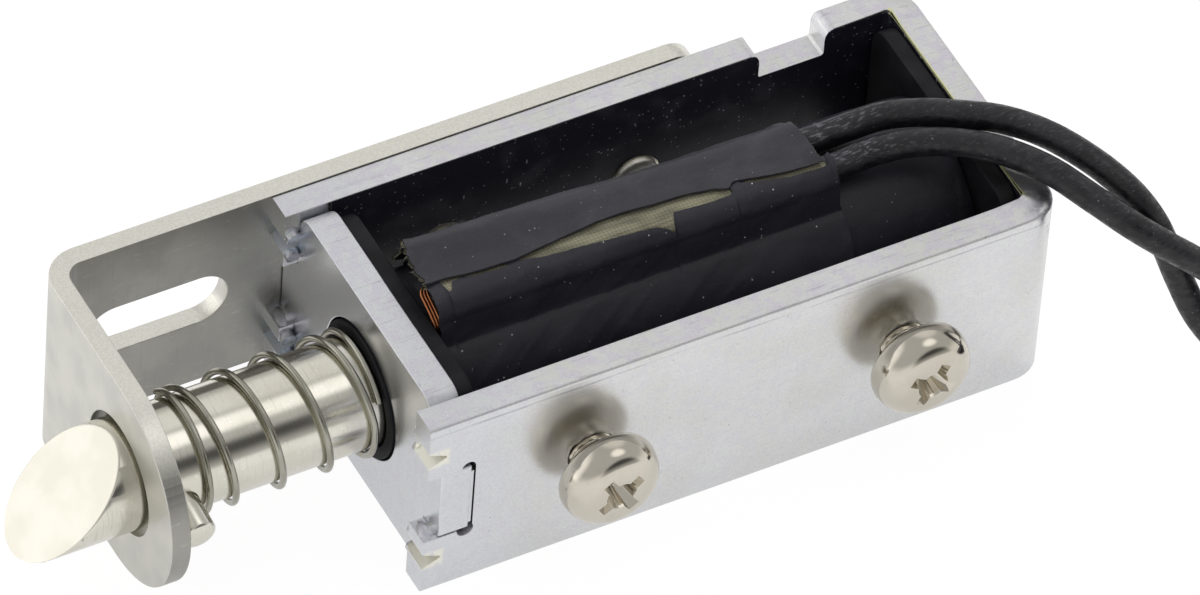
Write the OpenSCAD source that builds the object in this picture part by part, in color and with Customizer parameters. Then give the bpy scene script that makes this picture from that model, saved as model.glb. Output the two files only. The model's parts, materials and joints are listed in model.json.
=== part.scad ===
// Open frame push pull solenoid with a bevelled latch bolt, a return spring and a slotted bracket.
// The bolt's axis is X. X = 0 is the front plate's outer face, and the bolt's tip points to -X.
// Z is up, through the open side of the yoke. The bracket lies on the +Y side.

/* [Yoke] */
// Length from the horn tips to the outside of the rear wall
yoke_len = 39; // [33:0.5:48]
// Width across the two side walls
yoke_w = 19; // [17:0.5:24]
// Height of the strip
yoke_h = 13; // [12.6:0.2:17]
// Thickness of the strip
strip_t = 1.7; // [1:0.1:2.2]
// Inside radius of the two rear bends
bend_r = 0.4; // [0.2:0.1:1.2]
// How far the horns stand past the front plate
horn_out = 0.9; // [0.5:0.1:1.5]
// Height of the tab joint
tab_h = 5; // [3:0.5:6.5]
// Length of the notch in the top edge of the bracket side wall
edge_notch_l = 4.1; // [2:0.1:6]
// Depth of that notch
edge_notch_d = 1.9; // [0.5:0.1:2.5]
// Distance from the rear face to the middle of that notch
edge_notch_back = 7.7; // [5:0.1:9]

/* [Front plate] */
// Thickness of the front plate
plate_t = 1.85; // [1.2:0.05:2.6]
// Radius of its upper corners
plate_corner_r = 1.2; // [0.4:0.1:2]

/* [Bolt] */
// Diameter of the bolt
bolt_d = 6.4; // [5.4:0.1:7]
// How far the tip stands past the front plate at rest
bolt_reach = 21.1; // [19.5:0.1:25]
// Angle between the bevel and the cross section
bevel_angle = 43; // [30:1:48]
// Working stroke
stroke = 6; // [3:0.5:7.5]
// Running clearance between the bolt and the bobbin, on the radius
bolt_clear = 0.1; // [0.05:0.01:0.2]
// Length of bolt inside the front plate at rest
bolt_inside = 16; // [12:0.5:20]
// Diameter of the cross pin
pin_d = 2.1; // [1.5:0.1:2.4]
// Length of the cross pin
pin_len = 10.8; // [9.4:0.1:13]
// Turn of the cross pin about the bolt's axis
pin_turn = 8; // [-30:1:30]

/* [Return spring] */
// Diameter of the spring wire
spring_wire = 0.45; // [0.3:0.05:0.6]
// Gap between the bolt and the inside of the spring
spring_gap = 0.08; // [0.04:0.01:0.4]
// Number of open turns between the closed ends
open_turns = 3.3; // [2.3:0.5:5.3]

/* [Bracket] */
// Thickness of the bracket
bracket_t = 1.15; // [0.8:0.05:1.6]
// Width of the bracket
bracket_w = 13; // [12:0.2:13]
// How far the flange stands in front of the front plate
flange_reach = 14.65; // [13.6:0.1:17]
// How far the long leg runs behind the front plate
bracket_back = 25.4; // [22:0.2:30]
// Inside radius of the bracket's bend
bracket_bend_r = 1.05; // [0.5:0.05:1.8]
// Diameter of the guide hole in the flange
guide_d = 7.2; // [7.2:0.1:8]
// Width of the mounting slot
slot_w = 3.5; // [3.2:0.1:4.5]
// End to end length of the mounting slot
slot_len = 8.6; // [6:0.1:8.8]
// Distance from the front plate to the middle of the slot
slot_reach = 7.6; // [7:0.1:8.2]
// Distance from the front plate to the first bracket screw
fix_first = 9; // [6:0.5:10]
// Distance between the two bracket screws
fix_pitch = 12; // [9:0.5:13]

/* [Screws] */
// Thread diameter of the side screws and the bracket screws
screw_d = 3; // [2.5:0.5:3]
// Head diameter of the side screws
head_d = 5.8; // [5:0.1:6.4]
// Head height of the side screws
head_h = 2.2; // [1.6:0.1:2.6]
// Shank length of the side screws
shank_len = 4; // [3.5:0.1:4.2]
// How far the side screws are backed out
backed_out = 1.2; // [1:0.1:1.6]
// Distance from the front plate to the first side screw
side_first = 9.3; // [7:0.1:12]
// Distance between the side screws
side_pitch = 19.2; // [15:0.1:20]

/* [Coil] */
// Wall of the bobbin tube
bobbin_wall = 0.7; // [0.5:0.05:1]
// Thickness of the bobbin's end flanges
bobbin_flange = 1; // [0.8:0.1:1.4]
// Radial build of the copper winding
winding_build = 1.25; // [1:0.05:1.4]
// Thickness of one layer of tape
tape_t = 0.2; // [0.12:0.01:0.25]
// Width of bare winding left in front of the tape
bare_edge = 1; // [0.5:0.1:2]
// Length of the folded cover over the lead joints
cover_len = 23; // [18:0.5:24]

/* [Leads] */
// Outside diameter of a lead
lead_d = 1.6; // [1.2:0.05:1.7]
// Diameter of the stripped and tinned end
tinned_d = 0.8; // [0.5:0.05:1]
// Length of the stripped and tinned end
tinned_len = 6; // [4:0.5:8]
// Thickness of the tie round the coiled leads
tie_t = 0.3; // [0.2:0.05:0.4]

/* [Hidden] */
$fn = 64;
touch = 0.05;      // assembly gap between pieces that sit together
eps = 0.01;        // overrun of a cut
fit_gap = 0.02;    // gap at a pressed joint
thread_gap = 0.03; // gap between a screw and its tapped hole, on the radius
rear_x = yoke_len - horn_out;
rear_in_x = rear_x - strip_t;
wall_out = yoke_w / 2;
wall_in = wall_out - strip_t;
half_h = yoke_h / 2;
floor_z = -half_h;
bolt_r = bolt_d / 2;
bore_r = bolt_r + bolt_clear;
tube_r = bore_r + bobbin_wall;
collar_out = 0.15;  // how far the bobbin's collar stands past the front plate
wind_x = plate_t + touch + bobbin_flange + touch;
wind_len = rear_in_x - 2 * touch - bobbin_flange - wind_x;
winding_r = tube_r + touch + winding_build;
tape_r = winding_r + touch + tape_t;
strip_in_r = tape_r + touch;
strip_out_r = strip_in_r + 0.15;
hold_r = strip_out_r + touch + tape_t;
flange_in_x = -flange_reach + bracket_t;
pin_x = flange_in_x + touch + pin_d / 2;
bolt_end_x = bolt_inside;
shim_t = 0.25;      // brass shim that keeps the bolt from sticking to the core
rivet_r = 2;        // radius of the core's rivet through the rear wall
core_x = bolt_end_x + stroke + touch + shim_t;
spring_r = bolt_r + spring_gap + spring_wire / 2;
spring_rear_x = -collar_out - touch - spring_wire / 2;
spring_front_x = pin_x + pin_d / 2 + touch + spring_wire / 2;
closed_turns = 1.1; // turns of each closed end
closed_pitch = spring_wire * 1.12;
spring_turns = open_turns + 2 * closed_turns;
open_pitch = (spring_rear_x - spring_front_x - 2 * closed_turns * closed_pitch) / open_turns;
spring_start = 38;  // angle of the front end, about the bolt's axis
sink_r = screw_d / 2 + bracket_t;
lead_r = lead_d / 2;
notch_x = plate_t + 0.2;
relief_r = 0.4;     // corner reliefs of the tab notch
stake_z = 4.05;     // height of the stakes above and below the bolt's axis
stake_w = 1.1;      // mouth of the cleft that the staking chisel leaves
stake_deep = 1.1;   // depth of that cleft
stake_in = 0.6;     // how far the spread metal reaches over the plate
stake_shoulder = 0.5; // height of the spread metal on each side of the cleft
side_xs = [side_first, side_first + side_pitch];
fix_xs = [fix_first, fix_first + fix_pitch];

// The leads leave the cover side by side, pass over the rear corner and come down behind it.
lead_a_y = 0.8;
lead_b_y = -1.5;
lead_z = strip_out_r + touch + lead_r;
cover_x = bobbin_flange + plate_t + 1.1;
cover_end_x = cover_x + cover_len;
joint_len = 7;     // length of a soldered joint
joint_r = 0.6;     // radius of a soldered joint
lead_in = 1.5;     // how far a lead's insulation runs into the cover
cover_back_r = 1.4; // radius of the cover's round back
cover_edge_r = 1.1; // radius of its front edge
tail_r = 0.15;     // radius of the winding's tail wires
route_a = [[cover_end_x - lead_in, lead_a_y, lead_z], [28.5, lead_a_y, lead_z], [30.2, 0.6, 6.9],
    [31.9, 0.3, 7.2], [33.8, -0.6, 7.5], [35.6, -1.8, 7.7], [37.5, -3.2, 7.8], [39.3, -5.1, 7.6], [40.9, -7.4, 7],
    [42.2, -9.3, 5.9], [43.2, -10.4, 4.2], [43.9, -10.9, 2.3], [44.6, -11.6, 0], [45.4, -12.7, -2.3],
    [46.7, -14.1, -4.2], [48.4, -15.8, -5.1], [50.2, -17.9, -5.4]];
route_b = [[cover_end_x - lead_in, lead_b_y, lead_z], [28.4, lead_b_y, lead_z], [30.2, -1.7, 7],
    [32.2, -2.3, 7.4], [34.1, -3.4, 7.7], [36.1, -5, 7.8], [38, -7.3, 7.6], [39.6, -9.6, 6.8], [41.1, -11.2, 5.7],
    [42.6, -12.2, 4.5], [44.5, -13, 2.9], [46.6, -13.8, 0.9], [48.7, -14.9, -1.3],
    [50.3, -16.4, -3], [51.3, -18.4, -3.8]];
coil_x = 60;       // centre of the coiled length
coil_y = -19;
coil_turns = 3;
coil_mid_r = 8;
coil_in_r = coil_mid_r - coil_turns * lead_r;
coil_out_r = coil_mid_r + coil_turns * lead_r;
coil_a_z = floor_z + tie_t + lead_r;
coil_b_z = coil_a_z + lead_d;
tie_w = 2;         // width of the tie
// Each lead's last stretch climbs out of its coil, crosses the turns and comes down to the floor.
tail_a = [[56.5, -23.1, -5.4], [59.3, -23.9, -5.2], [62, -23.3, -4.5], [64, -21.5, -3.4], [64.8, -19.2, -2.4],
    [65.4, -17.1, -2.15], [65.8, -14.1, -2.15], [65.6, -11.2, -2.15], [65, -8.8, -2.5], [64.4, -6.3, -4],
    [63.7, -3.9, -5.4], [62.9, -1.5, -5.7], [62, 0.9, -5.7], [61.1, 3.2, -5.7]];
tail_b = [[58.4, -25, -2.15], [61.6, -25, -2.15], [64.2, -23.7, -2.15], [66.2, -21.5, -2.15],
    [67.7, -18.7, -2.15], [68.6, -15.5, -2.15], [69.1, -12.4, -2.3], [69.2, -9.8, -3.6], [69.1, -7.2, -5.1],
    [68.8, -4.6, -5.7], [68.2, -2, -5.7], [67.4, 0.5, -5.7]];

// ---- helpers ----

// A cylinder along +X that starts at x
module rod_x(x, r, length) {
    translate([x, 0, 0])
        rotate([0, 90, 0])
            cylinder(r = r, h = length);
}

// A hollow cylinder along +X
module sleeve_x(x, r_in, r_out, length) {
    difference() {
        rod_x(x, r_out, length);
        rod_x(x - eps, r_in, length + 2 * eps);
    }
}

// A cylinder along Y, from y to y + length
module rod_y(y, r, length) {
    translate([0, y + length, 0])
        rotate([90, 0, 0])
            cylinder(r = r, h = length);
}

// A 2D rectangle with round corners, centred
module round_rect(w, h, r) {
    union() {
        square([w - 2 * r, h], center = true);
        square([w, h - 2 * r], center = true);
        for (i = [-1, 1], j = [-1, 1])
            translate([i * (w / 2 - r), j * (h / 2 - r)])
                circle(r = r);
    }
}

// A curved strip of tape: a sector of a sleeve between two angles in the YZ plane
module tape_sector(x, r_in, r_out, length, from, to) {
    far = 3 * r_out;
    mid = (from + to) / 2;
    translate([x, 0, 0])
        rotate([90, 0, 90])
            linear_extrude(height = length)
                difference() {
                    circle(r = r_out);
                    circle(r = r_in);
                    polygon([[0, 0], far * [cos(to), sin(to)], far * [cos(to + 60), sin(to + 60)],
                        far * [cos(mid + 180), sin(mid + 180)],
                        far * [cos(from - 60), sin(from - 60)], far * [cos(from), sin(from)]]);
                }
}

// ---- a tube swept along points ----

function unit(v) = v / norm(v);
function along(p, i) = unit(p[min(i + 1, len(p) - 1)] - p[max(i - 1, 0)]);
function square_to(u, t) = unit(u - (u * t) * t);
function first_side(t) = square_to(abs(t[2]) < 0.9 ? [0, 0, 1] : [0, 1, 0], t);
// Each side vector is the one before it, turned as little as the path allows
function side_vectors(p) =
    [for (i = 0, u = first_side(along(p, 0)); i < len(p);
        i = i + 1, u = i < len(p) ? square_to(u, along(p, i)) : u) u];
function ring(c, t, u, r, sides) =
    [for (k = [0 : sides - 1]) c + r * (cos(360 * k / sides) * u + sin(360 * k / sides) * cross(t, u))];

// A round tube of the given number of sides, with flat ends
module swept_tube(points, r, sides) {
    last = len(points) - 1;
    side = side_vectors(points);
    corners = [for (i = [0 : last]) each ring(points[i], along(points, i), side[i], r, sides)];
    walls = [for (i = [0 : last - 1], k = [0 : sides - 1])
        [i * sides + k, (i + 1) * sides + k,
            (i + 1) * sides + (k + 1) % sides, i * sides + (k + 1) % sides]];
    start_cap = [for (k = [0 : sides - 1]) k];
    end_cap = [for (k = [sides - 1 : -1 : 0]) last * sides + k];
    polyhedron(points = corners, faces = concat([start_cap], walls, [end_cap]));
}

// ---- yoke and front plate ----

// The bent strip, seen from above
module yoke_outline() {
    outer_r = bend_r + strip_t;
    difference() {
        union() {
            translate([-horn_out, -wall_out])
                square([yoke_len - outer_r, yoke_w]);
            translate([rear_x - outer_r, -wall_out + outer_r])
                square([outer_r, yoke_w - 2 * outer_r]);
            for (s = [-1, 1])
                translate([rear_x - outer_r, s * (wall_out - outer_r)])
                    circle(r = outer_r);
        }
        translate([-horn_out - eps, -wall_in])
            square([yoke_len - outer_r + eps, 2 * wall_in]);
        translate([rear_in_x - bend_r - eps, -wall_in + bend_r])
            square([bend_r + eps, 2 * (wall_in - bend_r)]);
        for (s = [-1, 1])
            translate([rear_in_x - bend_r, s * (wall_in - bend_r)])
                circle(r = bend_r);
    }
}

// The punched notch in the top edge of the bracket side wall, with round corners at its mouth
module edge_notch() {
    corner_r = min(0.6, edge_notch_d / 2);
    translate([rear_x - edge_notch_back, wall_out + eps, half_h])
        rotate([90, 0, 0])
            linear_extrude(height = strip_t + 2 * eps)
                union() {
                    translate([-edge_notch_l / 2, -edge_notch_d])
                        square([edge_notch_l, edge_notch_d + 1]);
                    for (s = [-1, 1])
                        difference() {
                            translate([s * edge_notch_l / 2 - corner_r, -corner_r])
                                square([2 * corner_r, corner_r + eps]);
                            translate([s * (edge_notch_l / 2 + corner_r), -corner_r])
                                circle(r = corner_r);
                        }
                }
}

// The open notch in a side wall that takes the front plate's tab, with its two corner reliefs
module tab_notch() {
    translate([-horn_out - eps, -wall_out - eps, -tab_h / 2])
        cube([horn_out + notch_x + eps, yoke_w + 2 * eps, tab_h]);
    for (s = [-1, 1])
        translate([notch_x - relief_r, 0, s * tab_h / 2])
            rod_y(-wall_out - eps, relief_r, yoke_w + 2 * eps);
}

// The cleft that the staking chisel leaves in a horn, open at the horn's tip
module stake_cleft() {
    translate([-horn_out, -wall_in + stake_in + eps, stake_z])
        rotate([90, 0, 0])
            linear_extrude(height = strip_t + stake_in + 2 * eps)
                polygon([[-eps, -stake_w / 2], [stake_deep, 0], [-eps, stake_w / 2]]);
}

// The metal that the chisel spreads over the front plate, on both sides of the cleft
module stake_lip() {
    lip_h = stake_w + 2 * stake_shoulder;
    translate([-horn_out, -wall_in - eps, stake_z - lip_h / 2])
        linear_extrude(height = lip_h)
            polygon([[0.15, 0], [horn_out, 0], [horn_out, stake_in + eps], [0.5, stake_in * 0.7]]);
}

module at_each_stake() {
    for (s = [0, 1], t = [0, 1])
        mirror([0, s, 0])
            mirror([0, 0, t])
                children();
}

module yoke() {
    color("silver")
    difference() {
        union() {
            difference() {
                translate([0, 0, -half_h])
                    linear_extrude(height = yoke_h)
                        yoke_outline();
                tab_notch();
            }
            at_each_stake()
                stake_lip();
        }
        at_each_stake()
            stake_cleft();
        edge_notch();
        // tapped holes for the side screws and the bracket screws
        for (x = side_xs)
            translate([x, 0, 0])
                rod_y(-wall_out - eps, screw_d / 2, strip_t + 2 * eps);
        for (x = fix_xs)
            translate([x, 0, 0])
                rod_y(wall_in - eps, screw_d / 2, strip_t + 2 * eps);
        // hole for the core's rivet
        rod_x(rear_in_x - eps, rivet_r, strip_t + 2 * eps);
    }
}

module front_plate() {
    inner_w = 2 * (wall_in - fit_gap);
    color("lightsteelblue")
    difference() {
        rotate([90, 0, 90])
            linear_extrude(height = plate_t)
                union() {
                    translate([0, plate_corner_r / 2])
                        round_rect(inner_w, yoke_h - plate_corner_r, plate_corner_r);
                    translate([-inner_w / 2, -half_h])
                        square([inner_w, half_h]);
                    square([yoke_w - 2 * touch, tab_h - 3 * fit_gap], center = true);
                }
        rod_x(-eps, tube_r + 2 * touch, plate_t + 2 * eps);
    }
}

// ---- coil ----

module bobbin() {
    flange_w = 2 * (wall_in - 4 * touch);
    flange_h = yoke_h - 12 * touch;
    corner_r = 1.5;
    front_x = plate_t + touch;
    end_x = rear_in_x - touch;
    color("dimgray")
    difference() {
        union() {
            rod_x(-collar_out, tube_r, end_x + collar_out);
            for (x = [front_x, end_x - bobbin_flange])
                translate([x, 0, 0])
                    rotate([90, 0, 90])
                        linear_extrude(height = bobbin_flange)
                            round_rect(flange_w, flange_h, corner_r);
        }
        rod_x(-collar_out - eps, bore_r, end_x + collar_out + 2 * eps);
    }
}

module winding() {
    color("peru")
        sleeve_x(wind_x, tube_r + touch, winding_r, wind_len);
}

module coil_tape() {
    color("black")
        sleeve_x(wind_x + bare_edge, winding_r + touch, tape_r, wind_len - bare_edge);
}

module cloth_strip() {
    color("tan")
        tape_sector(wind_x + 3, strip_in_r, strip_out_r, wind_len - 8, 84, 114);
}

module hold_tape() {
    color("black")
        tape_sector(wind_x + 1.5, strip_out_r + touch, hold_r, cover_len + 1, 107, 186);
}

// The fold of tape over the lead joints lies on the coil, with a round back and a thin front edge
module splice_cover() {
    color("dimgray")
    difference() {
        translate([cover_x, 0, 0])
            hull() {
                translate([0, lead_a_y + 1, lead_z - 0.3])
                    rotate([0, 90, 0])
                        cylinder(r = cover_back_r, h = cover_len, $fn = 32);
                translate([0, lead_b_y, lead_z - 0.1])
                    rotate([0, 90, 0])
                        cylinder(r = cover_edge_r, h = cover_len, $fn = 32);
            }
        rod_x(cover_x - eps, hold_r + touch, cover_len + 2 * eps);
        for (y = [lead_a_y, lead_b_y])
            translate([0, y, lead_z]) {
                rod_x(cover_x - eps, joint_r + touch, cover_len + 2 * eps);
                rod_x(cover_end_x - lead_in - eps, lead_r + touch, lead_in + 2 * eps);
            }
    }
}

module lead_joints() {
    color("silver")
        for (y = [lead_a_y, lead_b_y])
            translate([0, y, lead_z])
                rod_x(cover_end_x - lead_in - joint_len, joint_r, joint_len);
}

// The two ends of the winding rise from the bare edge and run to the joints inside the cover
module winding_tails() {
    top_x = cover_x - 0.35;
    color("chocolate")
        for (y = [lead_a_y, lead_b_y])
            union() {
                swept_tube([[wind_x + 0.45, y * 0.6, winding_r + tail_r + eps],
                    [wind_x + 0.5, y * 0.7, winding_r + 0.5],
                    [top_x, y * 0.9, lead_z - 0.25],
                    [cover_x + 1, y, lead_z],
                    [cover_end_x - lead_in - joint_len, y, lead_z]], tail_r, 8);
            }
}

// ---- leads ----

module lead_coil(z) {
    translate([coil_x, coil_y, z])
        rotate_extrude()
            translate([coil_mid_r, 0])
                round_rect(coil_out_r - coil_in_r, lead_d, lead_r - 0.001);
}

module lead_wire_a() {
    color("black") {
        swept_tube(route_a, lead_r, 8);
        swept_tube(tail_a, lead_r, 8);
    }
}

module lead_wire_b() {
    color("black") {
        swept_tube(route_b, lead_r, 8);
        swept_tube(tail_b, lead_r, 8);
    }
}

module lead_coil_a() {
    color("black")
        lead_coil(coil_a_z);
}

module lead_coil_b() {
    color("black")
        lead_coil(coil_b_z);
}

// The tie runs round both coils
module lead_tie() {
    inner_w = coil_out_r - coil_in_r + 4 * touch;
    inner_h = 2 * (lead_d + fit_gap);
    color("dimgray")
        translate([coil_x - tie_w / 2, coil_y + coil_mid_r, (coil_a_z + coil_b_z) / 2])
            rotate([90, 0, 90])
                linear_extrude(height = tie_w)
                    difference() {
                        round_rect(inner_w + 2 * tie_t, inner_h + 2 * (tie_t - fit_gap), lead_r);
                        round_rect(inner_w, inner_h, lead_r - tie_t);
                    }
}

// The stripped and tinned length past the last point of a tail
module tinned_end(tail) {
    last = len(tail) - 1;
    dir = unit(tail[last] - tail[last - 1]);
    swept_tube([tail[last], tail[last] + tinned_len * dir], tinned_d / 2, 12);
}

module tinned_ends() {
    color("silver") {
        tinned_end(tail_a);
        tinned_end(tail_b);
    }
}

// ---- magnetic parts ----

module fixed_core() {
    rivet_head_h = 0.35;
    shank_r = rivet_r - fit_gap;
    color("gray")
    union() {
        rod_x(core_x, bore_r - 2 * fit_gap, rear_in_x - core_x);
        rod_x(rear_in_x - eps, shank_r, strip_t + touch + rivet_head_h);
        rod_x(rear_x + touch / 2, rivet_r + 0.6, rivet_head_h);
    }
}

module core_shim() {
    color("gold")
        rod_x(core_x - shim_t, bolt_r - bolt_clear, shim_t - eps / 2);
}

// The round bolt has a bevel cut across its tip and a cross hole for the pin
module latch_bolt() {
    chamfer = 0.4;
    color("gainsboro")
    difference() {
        union() {
            rod_x(-bolt_reach, bolt_r, bolt_reach + bolt_end_x - chamfer);
            translate([bolt_end_x - chamfer, 0, 0])
                rotate([0, 90, 0])
                    cylinder(r1 = bolt_r, r2 = bolt_r - chamfer, h = chamfer);
        }
        translate([-bolt_reach, 0, -bolt_r])
            rotate([0, bevel_angle - 90, 0])
                translate([-30, -10, 0])
                    cube([60, 20, 20]);
        translate([pin_x, 0, 0])
            rotate([pin_turn, 0, 0])
                rod_y(-bolt_d, pin_d / 2 + eps, 2 * bolt_d);
    }
}

module cross_pin() {
    edge = 0.15;
    color("darkgray")
        translate([pin_x, 0, 0])
            rotate([pin_turn, 0, 0])
                translate([0, pin_len / 2, 0])
                    rotate([90, 0, 0])
                        union() {
                            cylinder(r1 = pin_d / 2 - edge, r2 = pin_d / 2, h = edge);
                            translate([0, 0, edge])
                                cylinder(d = pin_d, h = pin_len - 2 * edge);
                            translate([0, 0, pin_len - edge])
                                cylinder(r1 = pin_d / 2, r2 = pin_d / 2 - edge, h = edge);
                        }
}

// Centre line of the spring: closed turns at each end and open turns between them
function spring_x(t) = spring_front_x + closed_pitch * min(t, closed_turns)
    + open_pitch * max(0, min(t - closed_turns, open_turns))
    + closed_pitch * max(0, t - closed_turns - open_turns);
function spring_point(t) = let (a = spring_start + 360 * t)
    [spring_x(t), spring_r * cos(a), spring_r * sin(a)];

module return_spring() {
    steps = 20;
    rings = ceil(spring_turns * steps);
    color("slategray")
        swept_tube([for (i = [0 : rings]) spring_point(spring_turns * i / rings)],
            spring_wire / 2, 8);
}

// ---- bracket and screws ----

// The bracket's strip, seen from above: a long leg, a bend and the flange
module bracket_outline() {
    outer_r = bracket_bend_r + bracket_t;
    leg_y = wall_out;
    bend = [-flange_reach + outer_r, leg_y + bracket_t - outer_r];
    union() {
        translate([bend[0], leg_y])
            square([bracket_back - bend[0], bracket_t]);
        translate([-flange_reach, -bracket_w / 2])
            square([bracket_t, bend[1] + bracket_w / 2]);
        intersection() {
            difference() {
                translate(bend)
                    circle(r = outer_r);
                translate(bend)
                    circle(r = bracket_bend_r);
            }
            translate([bend[0] - outer_r, bend[1]])
                square([outer_r, outer_r]);
        }
    }
}

// Everything of the strip's width that stays: square at the leg, round at the flange's free end
module bracket_width() {
    union() {
        translate([-flange_reach - 1, 0, -bracket_w / 2])
            cube([bracket_back + flange_reach + 2, wall_out + 4, bracket_w]);
        rod_x(-flange_reach - 1, bracket_w / 2, bracket_t + bracket_bend_r + 1);
    }
}

// Rounds the two corners at the leg's end
module leg_end() {
    corner_r = 1.5;
    translate([0, wall_out - eps, 0])
        rotate([-90, 0, 0])
            linear_extrude(height = bracket_t + 2 * eps)
                difference() {
                    translate([bracket_back - corner_r, -bracket_w / 2 - eps])
                        square([corner_r + eps, bracket_w + 2 * eps]);
                    translate([bracket_back / 2, 0])
                        round_rect(bracket_back, bracket_w, corner_r);
                }
}

module mounting_bracket() {
    slot_half = (slot_len - slot_w) / 2;
    color("darkgray")
    difference() {
        intersection() {
            translate([0, 0, -bracket_w / 2])
                linear_extrude(height = bracket_w)
                    bracket_outline();
            bracket_width();
        }
        leg_end();
        rod_x(-flange_reach - 1, guide_d / 2, bracket_t + 2);
        translate([-slot_reach, 0, 0]) {
            for (s = [-1, 1])
                translate([s * slot_half, 0, 0])
                    rod_y(wall_out - 1, slot_w / 2, bracket_t + 2);
            translate([-slot_half, wall_out - 1, -slot_w / 2])
                cube([2 * slot_half, bracket_t + 2, slot_w]);
        }
        for (x = fix_xs)
            translate([x, wall_out, 0])
                rotate([-90, 0, 0])
                    cylinder(r1 = screw_d / 2 + touch, r2 = sink_r + touch, h = bracket_t + eps);
    }
}

// A cross recess, opening towards -Z, with its mouth at z = 0
module cross_recess(width, arm, depth) {
    for (a = [45, 135])
        rotate([0, 0, a])
            translate([-width / 2, -arm / 2, -eps])
                cube([width, arm, depth + eps]);
}

module bracket_screws() {
    color("whitesmoke")
        for (x = fix_xs)
            translate([x, wall_out + bracket_t, 0])
                rotate([90, 0, 0])
                    difference() {
                        union() {
                            cylinder(r1 = sink_r, r2 = screw_d / 2, h = bracket_t);
                            cylinder(r = screw_d / 2 - thread_gap, h = bracket_t + strip_t);
                        }
                        cross_recess(2.6, 0.6, 0.9);
                    }
}

// Pan head: a flat crown, a round shoulder and a short straight rim
module pan_head() {
    shoulder_r = head_h * 0.75;
    head_r = head_d / 2;
    rotate_extrude()
        union() {
            translate([0, shoulder_r])
                square([head_r, head_h - shoulder_r]);
            square([head_r - shoulder_r, head_h]);
            intersection() {
                translate([head_r - shoulder_r, shoulder_r])
                    circle(r = shoulder_r);
                square([head_r, head_h]);
            }
        }
}

module side_screws() {
    color("whitesmoke")
        for (x = side_xs)
            translate([x, -wall_out - backed_out - head_h, 0])
                rotate([-90, 0, 0])
                    difference() {
                        union() {
                            pan_head();
                            cylinder(r = screw_d / 2 - thread_gap, h = head_h + shank_len);
                        }
                        cross_recess(3, 0.7, 1.3);
                    }
}

yoke();
front_plate();
bobbin();
winding();
coil_tape();
cloth_strip();
hold_tape();
splice_cover();
lead_joints();
winding_tails();
lead_wire_a();
lead_wire_b();
lead_coil_a();
lead_coil_b();
lead_tie();
tinned_ends();
fixed_core();
core_shim();
latch_bolt();
cross_pin();
return_spring();
mounting_bracket();
bracket_screws();
side_screws();
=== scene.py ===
"""Looks of an open frame push pull solenoid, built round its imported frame.

Everything is in metres in the frame's own axes: the bolt's axis is X with its tip at -X, the
front plate's outer face is at x = 0, Z is up through the yoke's open side, and the bracket lies
on the +Y side. Sizes in the classes are in millimetres, and ``MM`` turns them into metres.
"""

import json
import logging
import math
from collections.abc import Callable, Sequence
from dataclasses import dataclass, field
from enum import Enum
from itertools import product

import bmesh
import bpy
import numpy as np
from mathutils import Matrix, Vector, noise

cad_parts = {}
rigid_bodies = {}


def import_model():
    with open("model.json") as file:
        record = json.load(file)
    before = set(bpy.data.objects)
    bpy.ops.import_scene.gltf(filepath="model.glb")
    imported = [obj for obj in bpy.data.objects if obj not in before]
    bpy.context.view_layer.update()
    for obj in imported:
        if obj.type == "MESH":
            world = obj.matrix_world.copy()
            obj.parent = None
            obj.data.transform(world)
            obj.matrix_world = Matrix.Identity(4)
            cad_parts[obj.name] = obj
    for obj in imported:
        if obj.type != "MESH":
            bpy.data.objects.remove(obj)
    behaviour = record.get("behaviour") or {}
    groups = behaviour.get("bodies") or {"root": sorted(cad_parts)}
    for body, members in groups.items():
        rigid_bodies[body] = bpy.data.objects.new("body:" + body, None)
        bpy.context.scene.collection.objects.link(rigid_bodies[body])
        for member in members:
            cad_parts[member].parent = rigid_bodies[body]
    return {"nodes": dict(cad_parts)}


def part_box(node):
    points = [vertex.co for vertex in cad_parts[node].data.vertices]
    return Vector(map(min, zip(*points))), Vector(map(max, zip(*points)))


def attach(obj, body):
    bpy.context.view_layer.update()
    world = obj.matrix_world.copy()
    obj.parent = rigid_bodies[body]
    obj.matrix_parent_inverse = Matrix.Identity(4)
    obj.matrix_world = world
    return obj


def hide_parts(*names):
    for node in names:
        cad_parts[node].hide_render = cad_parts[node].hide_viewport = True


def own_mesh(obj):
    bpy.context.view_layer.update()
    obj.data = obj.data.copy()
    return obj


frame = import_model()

MM = 0.001
FIXED = "solenoid_body"
SAME_PLACE = 1e-8
SIDE_SCREWS = (9.3, 28.5)
BRACKET_SCREWS = (9.0, 21.0)
JOINT_Z = 6.6
WHITE = (1.0, 1.0, 1.0, 1.0)

Colour = tuple[float, float, float]
Triple = tuple[float, float, float]
Pair = tuple[float, float]
Faces = list[tuple[int, ...]]
Place = Callable[[float, float, float], Triple]
Piece = bpy.types.Object
Material = bpy.types.Material
Wave = Callable[[float, float], float]

log = logging.getLogger("solenoid")


# ---- node trees written as expressions ----


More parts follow.
